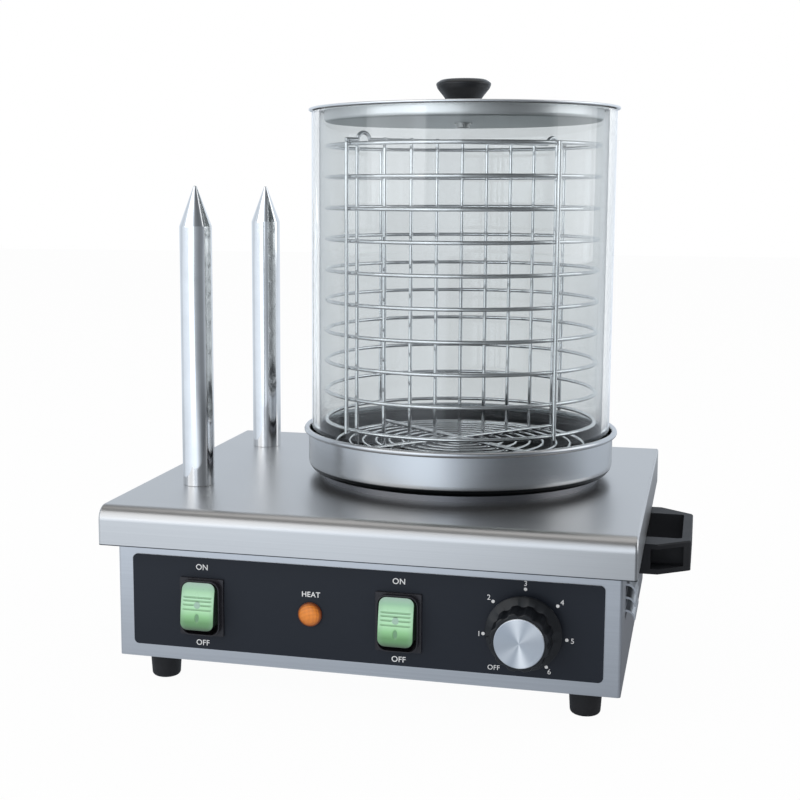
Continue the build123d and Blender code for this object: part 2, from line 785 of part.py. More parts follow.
def basket():
    """Basket of ten wire rings welded inside four uprights."""
    wires = None
    for i in range(ring_count):
        ring = wire_ring(ring_r, wire_r, ring_first + i * ring_pitch)
        wires = ring if wires is None else wires + ring
    reach = ring_r + 2 * wire_r - weld_sink
    for i in range(4):
        x, y, z = on_spoke(upright_angle + 90 * i, reach, 0)
        wires += round_wire(wire_r, (x, y, ring_first - upright_tail), (x, y, ring_last + wire_r))
    return wires.solid()


def divider():
    """Planar grid of upright wires on a top wire, with a lifting loop and a hooked tail at each end."""
    top_wire_z = ring_last + 2 * wire_r + 0.1
    bottom_z = pan_floor + 2 * seat_gap + grill_leg_height + grill_cross_wire_r
    a = upright_angle
    half = loop_from_centre + loop_r
    inner = loop_from_centre - loop_r

    def at(d, z):
        return on_spoke(a, d, z)

    wires = round_wire(wire_r, at(-inner, top_wire_z), at(inner, top_wire_z))
    for sign in (-1, 1):
        arch = ThreePointArc(at(sign * inner, top_wire_z), at(sign * loop_from_centre, top_wire_z + loop_r),
                             at(sign * half, top_wire_z))
        section = Plane(origin=at(sign * inner, top_wire_z), z_dir=(0, 0, 1))
        wires += sweep(section * RegularPolygon(wire_section_r(wire_r), 6), path=arch)
        wires += round_wire(wire_r, at(sign * (half - wire_r), top_wire_z), at(sign * tail_reach, top_wire_z))
    for i in range(divider_bars):
        d = (i - (divider_bars - 1) / 2) * divider_pitch
        top = top_wire_z if abs(d) > inner else top_wire_z + wire_r
        wires += round_wire(wire_r, at(d, bottom_z), at(d, top))
    return wires.solid()


def glass_cylinder():
    """Thick glass tube with rounded edges."""
    tube_body = tube(glass_r, glass_z, glass_z + glass_height) - tube(glass_r - glass_wall, 0, 999)
    rims = tube_body.edges().filter_by(GeomType.CIRCLE)
    tube_body = fillet(rims, glass_edge)
    return Pos(pan_x, pan_y, 0) * tube_body.solid()


def lid():
    """Dished steel lid: a hemmed rim on the glass, a wall inside it and a flat floor."""
    t = lid_sheet
    z0, z1 = lid_floor, lid_z
    body = turned([(lid_screw_r + 0.2, z0), (lid_dish_r - 1.5, z0), (lid_dish_r, z0 + 1.5), (lid_dish_r, z1),
                   (lid_r - 0.6, z1), (lid_r, z1 + 0.6), (lid_r, z1 + lid_rim - 0.6), (lid_r - 0.6, z1 + lid_rim),
                   (lid_r - 4, z1 + lid_rim), (lid_r - 4, z1 + t), (lid_dish_r - t, z1 + t),
                   (lid_dish_r - t, z0 + 1.5 + t / 2), (lid_dish_r - 1.5 - t / 2, z0 + t),
                   (lid_screw_r + 0.2, z0 + t)], pan_x, pan_y)
    return body.solid()


def lid_knob():
    """Moulded knob that flares from a narrow neck to a domed head."""
    z = lid_floor + lid_sheet
    h, rn, rk = lid_knob_height, lid_knob_neck_r, lid_knob_r
    base = Polyline((0, z + h), (0, z), (lid_knob_base_r, z), (lid_knob_base_r, z + 2), (rn, z + 5), (rn, z + 0.42 * h))
    flare = Spline((rn, z + 0.42 * h), (rn + 0.3 * (rk - rn), z + 0.66 * h), (rk, z + 0.865 * h),
                   (0.84 * rk, z + 0.952 * h), (0.45 * rk, z + 0.99 * h), (0, z + h), tangents=[(0, 1), (-1, 0)])
    body = revolve(Plane.XZ * make_face(Wire([flare] + list(base.edges()))), Axis.Z, 360)
    body -= tube(lid_screw_r + 0.1, z - 1, z + 13)
    return Pos(pan_x, pan_y, 0) * body.solid()


def lid_screw():
    """Screw and washer under the lid that hold its knob."""
    z = lid_floor
    washer = tube(6.0, z - 1.0, z) - tube(lid_screw_r + 0.2, z - 2, z + 1)
    head = tube(4.4, z - 3.6, z - 1.0)
    head = fillet(head.faces().sort_by(Axis.Z)[0].edges(), 1.2)
    screw = head + tube(lid_screw_r, z - 1.2, z + 11)
    return group([Pos(pan_x, pan_y, 0) * washer.solid(), Pos(pan_x, pan_y, 0) * screw.solid()])


# Bun spikes


def spike(y):
    """Turned spike with a conical point, a threaded spigot and a blind bore for its heater."""
    z1 = top_z + spike_height
    z2 = z1 + spike_tip_height
    z0 = top_z - spike_spigot
    body = turned([(0, z0), (spike_spigot_r, z0), (spike_spigot_r, top_z), (spike_r, top_z), (spike_r, z1),
                   (spike_tip_r + 0.3, z2 - 0.5), (spike_tip_r - 0.4, z2), (0, z2)], spike_x, y)
    return (body - tube(spike_bore_r, z0 - 1, z0 + heater_length, spike_x, y)).solid()


def spike_heater(y):
    """Cartridge heater in a spike's bore, with its two pins."""
    z1 = top_z - spike_spigot + heater_length - 2
    z0 = z1 - heater_length - 2
    body = tube(heater_r, z0, z1, spike_x, y)
    for side in (-1, 1):
        body += tube(1.0, z0 - 8, z0 + 1, spike_x + side * 2.4, y)
    return body.solid()


def spike_nuts():
    """One large nut on each spigot under the worktop's washer."""
    z = case_top - 1.5
    return group(hexagon_nut(spike_nut_width, z - spike_nut_height, z, spike_spigot_r + 0.1, spike_x, y)
                 for y in spike_ys)


def spike_washers():
    """One broad washer under the worktop at each spigot."""
    return group(tube(13.5, case_top - 1.5, case_top, spike_x, y)
                 - tube(spike_spigot_r + hole_gap, case_top - 3, case_top + 1, spike_x, y) for y in spike_ys)


# Handles, feet and the rest of the fittings


def handle_screw_places():
    """Screws from inside the case into each handle's ends, on both sides."""
    z = top_z - top_flange - handle_top_drop - handle_height / 2
    y = (grip_gap_half + handle_half_base) / 2 + 1
    return [(side * case_width / 2, sy * y, z) for side in (-1, 1) for sy in (-1, 1)]


def handle(side):
    """Moulded handle: a tapering block with a finger opening through it and a pocket in each end."""
    x0 = case_width / 2
    x1 = x0 + handle_reach
    z1 = top_z - top_flange - handle_top_drop
    z0 = z1 - handle_height
    b, e = handle_half_base, handle_half_tip
    xs = x0 + handle_shoulder
    plan = [(x0, -b), (xs, -b), (x1, -e), (x1, e), (xs, b), (x0, b)]
    block = extrude(Pos(0, 0, z0) * make_face(Polyline(*plan, close=True)), z1 - z0)
    block = fillet(block.edges().filter_by(Axis.Z).sort_by(Axis.X)[-2:], 3.0)
    gap = box(x0 + grip_gap_in, x1 - grip_rail, -grip_gap_half, grip_gap_half, z0 - 1, z1 + 1)
    gap = fillet(gap.edges().filter_by(Axis.Z), 2.0)
    block -= gap
    for sy in (-1, 1):
        y0, y1 = sorted((sy * (grip_gap_half + pocket_wall), sy * (b + 1)))
        pocket = box(x0 + 11.5, x1 - 4.5, y0, y1, z0 + pocket_wall, z1 - pocket_wall)
        block -= pocket
    block = fillet(block.faces().sort_by(Axis.Z)[-1].edges().sort_by(Axis.X)[-1], 1.2)
    for x, y, z in handle_screw_places():
        if x > 0:
            block -= bar_x(handle_screw_r + 0.1, x0 - 1, x0 + 9, y, z)
    block = block.solid()
    return block if side > 0 else mirror(block, about=Plane.YZ)


def handle_screws():
    """Screws with flat washers' heads inside the case that hold both handles."""
    screws = []
    for x, y, z in handle_screw_places():
        side = 1 if x > 0 else -1
        inside = x - side * case_sheet
        head = bar_x(4.2, min(inside, inside - side * 2.6), max(inside, inside - side * 2.6), y, z)
        end = x + side * 8
        shank = bar_x(handle_screw_r, min(inside - side, end), max(inside - side, end), y, z)
        screws.append((head + shank).solid())
    return group(screws)


def foot_places():
    """Centres of the four feet."""
    return [(sx * foot_x, sy * foot_y) for sy in (-1, 1) for sx in (-1, 1)]


def foot(x, y):
    """Tapered rubber foot with a rounded tread and a sunk screw hole."""
    body = loft([Circle(foot_bottom_r), Pos(0, 0, foot_height) * Circle(foot_top_r)])
    body = fillet(body.faces().sort_by(Axis.Z)[0].edges(), foot_round)
    body -= tube(4.4, -1, 8)
    body -= tube(screw_r + hole_gap, 7, foot_height + 1)
    return Pos(x, y, 0) * body.solid()


def foot_screws():
    """Screws through the feet with their nuts inside the case."""
    pieces = []
    for x, y in foot_places():
        head = tube(3.8, 5.4, 8.0, x, y)
        shank = tube(screw_r, 7.8, case_bottom + 7, x, y)
        pieces.append((head + shank).solid())
    return group(pieces)


def foot_nuts():
    """Nuts on the feet's screws, on the base plate."""
    return group(hexagon_nut(7.0, case_bottom, case_bottom + 3.2, screw_r + hole_gap / 2, x, y)
                 for x, y in foot_places())


def cord_gland():
    """Threaded cord gland with a domed cap nut outside and a hexagon against the panel."""
    back = case_depth / 2
    z, x = gland_z, gland_x
    body = bar_y(gland_bore_r + 2.2, back - gland_inner, back + 3, x, z)
    hexagon = Pos(x, back + 5, z) * Rot(90, 0, 0) * extrude(RegularPolygon(gland_r, 6, major_radius=False), 5)
    cap = Pos(x, back + gland_reach, z) * Rot(90, 0, 0) * Cone(gland_r * 0.62, gland_r, gland_reach - 5,
                                                               align=(Align.CENTER, Align.CENTER, Align.MIN))
    body = body + hexagon + cap
    return (body - bar_y(gland_bore_r, back - gland_inner - 1, back + gland_reach + 1, x, z)).solid()


def gland_nut():
    """Nut inside the case that holds the gland."""
    nut = hexagon_nut(18.0, 0, 4.0, gland_bore_r + 2.3)
    return Pos(gland_x, case_depth / 2 - case_sheet, gland_z) * Rot(90, 0, 0) * nut


def terminal_block():
    """Screw terminal block on the base plate, with a row of wire holes and screw wells."""
    x, y, z = 40.0, 84.0, case_bottom
    ways, pitch = 5, 10.0
    block = box(x - ways * pitch / 2, x + ways * pitch / 2, y - 9, y + 9, z, z + 15)
    for i in range(ways):
        cx = x + (i - (ways - 1) / 2) * pitch
        block -= bar_y(2.2, y - 10, y + 10, cx, z + 5.5)
        block -= tube(2.4, z + 7, z + 16, cx, y)
    return block.solid()


def terminal_screws():
    """Clamp screws in the terminal block's wells."""
    x, y, z = 40.0, 84.0, case_bottom
    return group(tube(2.2, z + 7.8, z + 13, x + (i - 2) * 10.0, y) for i in range(5))


def earth_stud():
    """Earth stud welded to the base plate, with a washer nut."""
    x, y, z = 96.0, 92.0, case_bottom
    stud = tube(screw_r, z, z + 12, x, y)
    nut = hexagon_nut(7.0, z, z + 3.2, screw_r + hole_gap / 2, x, y)
    return group([stud, nut])


def main():
    """Build every piece and write it to its own file."""
    os.makedirs("parts", exist_ok=True)
    save(worktop(), "worktop")
    save(worktop_nuts(), "worktop_nuts")
    save(casing(), "casing")
    save(base_plate(), "base_plate")
    save(rear_panel(), "rear_panel")
    base_seats = [(x, y, foot_height) for x, y in base_screw_places()]
    save(screws_at(base_seats, Rot(180, 0, 0)), "base_screws")
    rear_seats = [(x, case_depth / 2, z) for x, z in rear_screw_places()]
    save(screws_at(rear_seats, Rot(-90, 0, 0)), "rear_screws")

    save(control_panel(), "control_panel")
    for x, name in zip(switch_xs, ("left", "right")):
        save(switch_frame(x), f"switch_frame_{name}")
        save(switch_terminals(x), f"switch_terminals_{name}")
        save(rocker(x), f"rocker_{name}")
    save(lamp_lens(), "lamp_lens")
    save(lamp_body(), "lamp_body")
    save(front_nut(15.0, 3.0, lamp_body_r + 0.1, lamp_x, lamp_z), "lamp_nut")
    save(thermostat_body(), "thermostat_body")
    save(thermostat_shaft(), "thermostat_shaft")
    dial_screws = [(dial_x + s * thermostat_screw_pitch / 2, panel_front, dial_z) for s in (-1, 1)]
    save(screws_at(dial_screws, Rot(90, 0, 0)), "thermostat_screws")
    save(knob(), "thermostat_knob")
    save(knob_cap(), "knob_cap")
    save(thermostat_bulb(), "thermostat_bulb")

    save(heating_plate(), "heating_plate")
    save(plate_stud(), "plate_stud")
    save(ring_element(), "ring_element")
    save(clamp_bar(), "clamp_bar")
    save(clamp_nut(), "clamp_nut")
    save(safety_cutout(), "safety_cutout")
    save(pan(), "pan")
    save(grill(), "grill")
    save(basket(), "basket")
    save(divider(), "divider")
    save(glass_cylinder(), "glass_cylinder")
    save(lid(), "lid")
    save(lid_knob(), "lid_knob")
    save(lid_screw(), "lid_screw")

    for y, name in zip(spike_ys, ("front", "rear")):
        save(spike(y), f"spike_{name}")
        save(spike_heater(y), f"spike_heater_{name}")
    save(spike_nuts(), "spike_nuts")
    save(spike_washers(), "spike_washers")

    save(handle(1), "handle_right")
    save(handle(-1), "handle_left")
    save(handle_screws(), "handle_screws")
    for (x, y), name in zip(foot_places(), ("front_left", "front_right", "rear_left", "rear_right")):
        save(foot(x, y), f"foot_{name}")
    save(foot_screws(), "foot_screws")
    save(foot_nuts(), "foot_nuts")
    save(cord_gland(), "cord_gland")
    save(gland_nut(), "gland_nut")
    save(terminal_block(), "terminal_block")
    save(terminal_screws(), "terminal_screws")
    save(earth_stud(), "earth_stud")


main()
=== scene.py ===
from math import cos, pi, radians, sin

import bmesh
import bpy
import numpy as np
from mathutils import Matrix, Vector


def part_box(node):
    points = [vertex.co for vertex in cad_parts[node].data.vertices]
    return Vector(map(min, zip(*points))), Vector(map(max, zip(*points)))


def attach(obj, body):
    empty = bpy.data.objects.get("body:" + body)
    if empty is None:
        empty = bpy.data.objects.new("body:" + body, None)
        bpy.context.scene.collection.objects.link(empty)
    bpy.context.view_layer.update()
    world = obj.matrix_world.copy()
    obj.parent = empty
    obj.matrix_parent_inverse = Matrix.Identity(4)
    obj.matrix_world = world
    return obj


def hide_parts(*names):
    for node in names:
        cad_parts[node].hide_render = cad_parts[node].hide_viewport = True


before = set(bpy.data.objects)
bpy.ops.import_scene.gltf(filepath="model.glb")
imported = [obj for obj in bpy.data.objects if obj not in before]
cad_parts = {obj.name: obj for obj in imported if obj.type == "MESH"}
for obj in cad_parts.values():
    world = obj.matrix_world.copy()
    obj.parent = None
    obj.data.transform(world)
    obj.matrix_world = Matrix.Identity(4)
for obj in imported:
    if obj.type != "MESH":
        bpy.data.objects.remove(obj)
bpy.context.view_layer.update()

# Sizes in millimetres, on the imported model's own frame: the front faces -Y and the feet stand on Z = 0.
PANEL_FRONT = -132.8
TOP_Z = 115.6
PLATE_Z = 119.7
PAN_X, PAN_Y = 33.6, 15.0
PAN_AXIS = (PAN_X, PAN_Y, 0)
PAN_R = 102.3
PAN_RIM_Z = PLATE_Z + 27.3
SHEET = 0.8
GLASS_R, GLASS_WALL = 100.0, 5.0
GLASS_Z0, GLASS_Z1 = (1000 * v.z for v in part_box("glass_cylinder"))
LID_FLOOR = 1000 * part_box("lid")[0].z
LID_Z = LID_FLOOR + 7.6
LID_DISH_R, LID_RIM_R = 91.3, 101.2
PLATE_R, PLATE_BOSS_R = 93.2, 75.5
SPIKE_R, SPIKE_SHOULDER, SPIKE_TIP = 10.4, TOP_Z + 168.2, TOP_Z + 194
SPIKE_FOOT_R, SPIKE_FOOT_Z = 7, 101.6
SWITCH_XS = {"left": -98.7, "right": 24.4}
SWITCH_Z = 54.1
LAMP_X, LAMP_Z = -30.0, 54.5
DIAL_X, DIAL_Z = 98.8, 54.9
DIAL_STEP = 49.5
DOT_R, DIGIT_R, FIRST_DIGIT_R = 24.5, 27.8, 27.0
KNOB_BACK = PANEL_FRONT - 4.7
SKIRT_R, CAP_R = 22.1, 14.4
WIRE_R = 1.3
RING_R = 90.0
RING_COUNT = 10
RING_FIRST = 154.0
RING_LAST = GLASS_Z1 - 22.57
BASKET_R = RING_R + 2 * WIRE_R - 0.25
DIVIDER_TOP = RING_LAST + 2 * WIRE_R + 0.1
LOOP_R, LOOP_PLACE = 4.4, RING_R - 10.0
GRILL_Z = 120.75 + 19.5
GRILL_R, GRILL_PITCH, GRILL_WIRE, LEG_R = 83.5, 9.0, 1.4, 86.4
SPOKE_ANGLE = 49.0
RIB_LEVELS = [5.4, 3.3, 0.8, -2.0]
BOSS_Z, OVAL_Z = 0.8, -7.0
ROCKER_REACH, ROCKER_TILT = 13.3, 10.5


# Shader maths


class Value:
    """A number that varies over a surface. Sums and products of values add Math nodes to their tree."""

    def __init__(self, nodes, socket):
        self.nodes = nodes
        self.socket = socket

    def math(self, operation, *others):
        inputs = dict(enumerate((self,) + others))
        return self.nodes.node("ShaderNodeMath", {"operation": operation}, inputs)

    def __add__(self, other):
        return self.math("ADD", other)

    def __radd__(self, other):
        return self.math("ADD", other)

    def __sub__(self, other):
        return self.math("SUBTRACT", other)

    def __rsub__(self, other):
        return self.nodes.node("ShaderNodeMath", {"operation": "SUBTRACT"}, {0: other, 1: self})

    def __mul__(self, other):
        return self.math("MULTIPLY", other)

    def __rmul__(self, other):
        return self.math("MULTIPLY", other)

    def __truediv__(self, other):
        return self.math("DIVIDE", other)

    def __pow__(self, other):
        return self.math("POWER", other)

    def __abs__(self):
        return self.math("ABSOLUTE")

    def step(self, low, high):
        """0 below low, 1 above high, and a smooth rise between."""
        inputs = {"Value": self, "From Min": low, "From Max": high}
        return self.nodes.node("ShaderNodeMapRange", {"interpolation_type": "SMOOTHSTEP"}, inputs)


class Nodes:
    """The nodes of a material or of the world."""

    def __init__(self, tree):
        self.tree = tree

    def node(self, kind, settings=None, inputs=None, output=0):
        """A node of this kind: its settings come first, then the values or links of its sockets."""
        made = self.tree.nodes.new(kind)
        for key, value in (settings or {}).items():
            if key == "stops":
                ramp = made.color_ramp
                while len(ramp.elements) < len(value):
                    ramp.elements.new(0.5)
                for element, (place, colour) in zip(ramp.elements, value):
                    element.position = place
                    element.color = (*colour, 1.0)
            else:
                setattr(made, key, value)
        for key, value in (inputs or {}).items():
            self.feed(made.inputs[key], value)
        return Value(self, made.outputs[output])

    def feed(self, socket, value):
        """Links a value to a socket, or sets the socket to a number or a colour."""
        if isinstance(value, Value):
            self.tree.links.new(value.socket, socket)
        elif isinstance(value, (tuple, list)) and socket.type == "RGBA" and len(value) == 3:
            socket.default_value = (*value, 1.0)
        else:
            socket.default_value = value

    def place(self):
        """The point on the piece, in metres, in the frame's axes."""
        return self.node("ShaderNodeTexCoord", output="Object")

    def ray(self, kind):
        """1 for this kind of ray and 0 for the others."""
        return self.node("ShaderNodeLightPath", output=f"Is {kind} Ray")

    def mirrored(self):
        """1 for light that has met a reflection on its way, also behind glass, and 0 for the rest."""
        return self.node("ShaderNodeLightPath", output="Glossy Depth").math("MINIMUM", 1.0)

    def behind_glass(self, colour):
        """The colour made brighter for what is mirrored behind glass, since the glass takes part of it, and
        duller for what is mirrored inside the glass wall itself, which shows as its pale edge."""
        crossings = self.node("ShaderNodeLightPath", output="Transmission Depth")
        edge = self.blend(1.0, colour, (0.27, 0.245, 0.22), "MULTIPLY")
        behind = self.blend(1.0, colour, (1.24, 1.16, 1.07), "MULTIPLY")
        through = self.blend(crossings.step(3.2, 3.8), edge, behind)
        return self.blend(crossings.step(0.2, 0.8), colour, through)

    def mapped(self, scale=(1, 1, 1), location=(0, 0, 0)):
        """The point on the piece, stretched and moved."""
        return self.node("ShaderNodeMapping", None, {"Vector": self.place(), "Scale": scale, "Location": location})

    def axis(self, vector, name):
        """One of a vector's three numbers."""
        return self.node("ShaderNodeSeparateXYZ", None, {0: vector}, output=name)

    def joined(self, x, y, z):
        """A vector from three numbers."""
        return self.node("ShaderNodeCombineXYZ", None, {0: x, 1: y, 2: z})

    def noise(self, vector, scale=1.0, detail=3.0, roughness=0.55):
        """Soft cloudy noise from 0 to 1."""
        inputs = {"Vector": vector, "Scale": scale, "Detail": detail, "Roughness": roughness}
        return self.node("ShaderNodeTexNoise", None, inputs)

    def ramp(self, value, stops):
        """A colour that follows a value through its stops."""
        return self.node("ShaderNodeValToRGB", {"stops": stops}, {0: value})

    def blend(self, factor, first, second, how="MIX"):
        """Two colours mixed by a factor."""
        settings = {"data_type": "RGBA", "blend_type": how, "clamp_factor": True}
        return self.node("ShaderNodeMix", settings, {0: factor, 6: first, 7: second}, output=2)


class Finish(Nodes):
    """A material built from one Principled shader and the values and colours that feed it."""

    def __init__(self, name, **constants):
        self.material = bpy.data.materials.new(name)
        self.material.use_nodes = True
        super().__init__(self.material.node_tree)
        self.shader = self.tree.nodes["Principled BSDF"]
        self.output = self.tree.nodes["Material Output"]
        for key, value in constants.items():
            self.set(key.replace("_", " ").title().replace("Ior", "IOR"), value)

    def set(self, name, value):
        """Feeds one of the Principled shader's sockets."""
        self.feed(self.shader.inputs[name], value)

    def bump(self, height, distance, strength=1.0):
        """A normal raised by a height in metres times distance."""
        inputs = {"Height": height, "Distance": distance, "Strength": strength}
        self.set("Normal", self.node("ShaderNodeBump", None, inputs))


# Finishes


def scaled(tone, factor):
    """A colour made darker or lighter."""
    return tuple(c * factor for c in tone)


def brushed_sheet(name, tone, warm, grain_by_face, roughness, hem=None):
    """Brushed sheet: long fine streaks that change tone and roughness, soft clouds, and a slight bump.

    The streaks run from tone, darkened, to warm, lightened. grain_by_face turns them with the fold, so that
    they run along X on the top and front and straight down on the side flanges; otherwise they run level all
    round. hem is the height in millimetres below which the sheet is painted dark, a painted shadow line."""
    f = Finish(name, metallic=1.0)
    level = f.noise(f.mapped((5, 5, 1500)), detail=2.0)
    if grain_by_face:
        across = f.noise(f.mapped((5, 1500, 5)), detail=2.0)
        normal = f.node("ShaderNodeNewGeometry", output="Normal")
        front = abs(f.axis(normal, "Y")).step(0.4, 0.8)
        streaks = front * level + (1 - front) * across
    else:
        streaks = level
    clouds = f.noise(f.mapped(), scale=14.0, detail=4.0)
    shade = 0.86 + 0.22 * streaks + 0.06 * clouds
    colour = f.blend(shade - 0.5, scaled(tone, 0.62), scaled(warm, 1.22))
    # Below the hem height the colour is painted dark: a painted shadow line along the sheet's lower edge.
    if hem:
        above = (f.axis(f.place(), "Z") * 1000).step(hem - 0.2, hem + 0.2)
        colour = f.blend(above, (0.06, 0.065, 0.07), colour)
    f.set("Base Color", colour)
    f.set("Roughness", roughness - 0.07 + 0.12 * streaks + 0.05 * clouds)
    f.bump(streaks, 0.00002, 0.25)
    return f.material


def turned_metal(name, tone, roughness, streak, dark=None, shaded=None, dulled=0.0):
    """Metal spun about the pan's axis: fine rings of tone and roughness, and a duller part painted dark as shade.

    dark takes the radius and height in millimetres and the upward part of the normal, and gives 1 where
    the metal is painted dark as shade. There it has the colour shaded, and its roughness grows by dulled."""
    f = Finish(name, metallic=1.0)
    p = f.mapped((1000, 1000, 1000), (-PAN_X, -PAN_Y, 0))
    u, v, w = (f.axis(p, a) for a in "XYZ")
    radius = (u * u + v * v).math("SQRT")
    rings = f.noise(f.joined(radius * 2.6, w * 2.6, v.math("ARCTAN2", u).math("SINE") * 0.4), detail=2.0)
    clouds = f.noise(f.mapped(), scale=20.0, detail=3.0)
    shade = 0.5 + streak * (rings - 0.5) + 0.04 * (clouds - 0.5)
    light = tuple(min(1.0, c) for c in scaled(tone, 1.3))
    clean = f.blend(shade, scaled(tone, 0.7), light)
    gloss = roughness + 0.06 * (rings - 0.5) + 0.04 * (clouds - 0.5)
    # Where dark gives 1 the colour is painted shade: darker, and duller too.
    if dark:
        up = f.axis(f.node("ShaderNodeNewGeometry", output="Normal"), "Z")
        darkened = dark(radius, w, up)
        clean = f.blend(darkened, clean, shaded)
        gloss = gloss + dulled * darkened
    f.set("Base Color", clean)
    f.set("Roughness", gloss)
    f.bump(rings, 0.000005, 0.03)
    return f.material


def bright_wire(name, tone, roughness):
    """Polished plated metal with faint clouding and drawn lines."""
    f = Finish(name, metallic=1.0)
    clouds = f.noise(f.mapped(), scale=90.0, detail=3.0)
    f.set("Base Color", f.blend(clouds, scaled(tone, 0.9), scaled(tone, 1.06)))
    f.set("Roughness", roughness + 0.08 * (clouds - 0.5))
    f.bump(clouds, 0.00004, 0.1)
    return f.material


def moulded(name, tone, roughness, grain=0.3, coat=0.0, level=0.3):
    """Moulded plastic or rubber: a fine eggshell grain, uneven gloss and slightly greyed high spots."""
    f = Finish(name, coat_roughness=0.25, specular_ior_level=level)
    fine = f.noise(f.mapped(), scale=2600.0, detail=2.0)
    clouds = f.noise(f.mapped(), scale=60.0, detail=4.0)
    f.set("Base Color", f.blend(clouds, scaled(tone, 0.82), scaled(tone, 1.2)))
    f.set("Roughness", roughness + 0.1 * (clouds - 0.5) + 0.08 * (fine - 0.5))
    f.set("Coat Weight", coat)
    f.bump(fine, 0.00004 * grain, 0.5)
    return f.material


def coated_panel(name):
    """Satin blue-black coated plate, with a faint level grain and soft clouds of gloss."""
    f = Finish(name, specular_ior_level=0.3)
    grain = f.noise(f.mapped((40, 40, 900)), detail=2.0)
    clouds = f.noise(f.mapped(), scale=9.0, detail=3.0)
    f.set("Base Color", f.blend(clouds, (0.008, 0.011, 0.018), (0.013, 0.017, 0.026)))
    f.set("Roughness", 0.42 + 0.06 * grain + 0.08 * clouds)
    f.bump(grain, 0.00001, 0.2)
    return f.material


def lit_green(name):
    """Green translucent rocker lit from behind: a pale upper half crossed by four darker ribs, a dark lower
    half, a grey boss and a dark oval, and sides painted near black as shade.

    Both rockers share it, so x and z run in millimetres from the middle of the nearer one's face."""
    f = Finish(name, coat_roughness=0.08)
    p = f.place()
    x = f.axis(p, "X") * 1000
    left, right = SWITCH_XS["left"], SWITCH_XS["right"]
    middle = (left + right) / 2
    x = x - right + (right - left) * (1 - x.step(middle - 1, middle + 1))
    z = f.axis(p, "Z") * 1000 - (SWITCH_Z + ROCKER_REACH * sin(radians(ROCKER_TILT)))
    tone = f.ramp((z + 15) / 30, [
        (0.03, (0.065, 0.115, 0.065)),
        (0.11, (0.105, 0.255, 0.105)),
        (0.18, (0.120, 0.300, 0.112)),
        (0.30, (0.250, 0.545, 0.245)),
        (0.42, (0.420, 0.760, 0.440)),
        (0.66, (0.450, 0.770, 0.500)),
        (0.78, (0.360, 0.645, 0.390)),
        (0.84, (0.290, 0.530, 0.345)),
        (0.96, (0.320, 0.465, 0.385)),
    ])
    tone = f.blend(abs(x).step(6.5, 10.4) * 0.3, tone, (0.22, 0.36, 0.26))
    rib = sum((1 - abs(z - level).step(0.15, 0.75)) for level in RIB_LEVELS)
    rib = rib.math("MINIMUM", 1.0) * (1 - abs(x).step(8.6, 9.8))
    tone = f.blend(rib * 0.75, tone, (0.21, 0.40, 0.22))
    boss = 1 - (x * x + (z - BOSS_Z) * (z - BOSS_Z)).math("SQRT").step(1.8, 2.3)
    tone = f.blend(boss * 0.9, tone, (0.31, 0.47, 0.38))
    oval = 1 - (x * x * 3.4 + (z - OVAL_Z) * (z - OVAL_Z)).math("SQRT").step(2.0, 3.0)
    tone = f.blend(oval * 0.85, tone, (0.12, 0.26, 0.14))
    # Off the face the sides are painted near black, as painted shade.
    face = (0 - f.axis(f.node("ShaderNodeNewGeometry", output="Normal"), "Y")).step(0.55, 0.9)
    tone = f.blend(face, (0.008, 0.014, 0.010), tone)
    cloud = f.noise(f.mapped(), scale=160.0, detail=2.0)
    f.set("Base Color", f.blend(face, tone, f.blend(0.56, tone, (0.0, 0.0, 0.0))))
    f.set("Roughness", 0.24 + 0.10 * cloud)
    f.set("Emission Color", tone)
    f.set("Emission Strength", 0.56)
    f.set("Coat Weight", 0.35 + 0.1 * cloud)
    f.bump(cloud, 0.0001, 0.15)
    return f.material


def amber_lens(name):
    """Amber translucent lens over a fine diamond pattern, with a lit middle."""
    f = Finish(name, coat_roughness=0.08)
    p = f.place()
    x = f.axis(p, "X") * 1000 - LAMP_X
    z = f.axis(p, "Z") * 1000 - LAMP_Z
    one = ((x + z) * 3.9).math("SINE")
    two = ((x - z) * 3.9).math("SINE")
    facets = (one * two + 1) * 0.5
    radius = (x * x + z * z).math("SQRT")
    core = 1 - radius.step(2.0, 7.4)
    tone = f.blend(facets * 0.85 + core * 0.15, (0.24, 0.035, 0.002), (0.98, 0.33, 0.028))
    tone = f.blend(z.step(-8.0, 1.0), f.blend(0.4, tone, (0.20, 0.03, 0.002)), tone)
    tone = f.blend(radius.step(5.6, 7.2) * 0.85, tone, (0.09, 0.012, 0.002))
    f.set("Base Color", tone)
    f.set("Emission Color", tone)
    f.set("Emission Strength", 0.30)
    f.set("Roughness", 0.30 + 0.14 * facets)
    f.set("Coat Weight", 0.3)
    f.bump(facets, 0.0003, 0.6)
    return f.material


def clear_glass(name):
    """Clear glass that hardly bends what is behind it, with a polished coat and the lightest smear on it."""
    f = Finish(name, transmission_weight=1.0, ior=1.12, coat_weight=1.0, coat_ior=1.5, coat_roughness=0.0)
    smear = f.noise(f.mapped((3, 3, 0.6)), scale=6.0, detail=3.0)
    f.set("Base Color", f.blend(smear, (0.785, 0.81, 0.82), (0.795, 0.82, 0.83)))
    f.set("Roughness", 0.004 + 0.012 * smear)
    return f.material


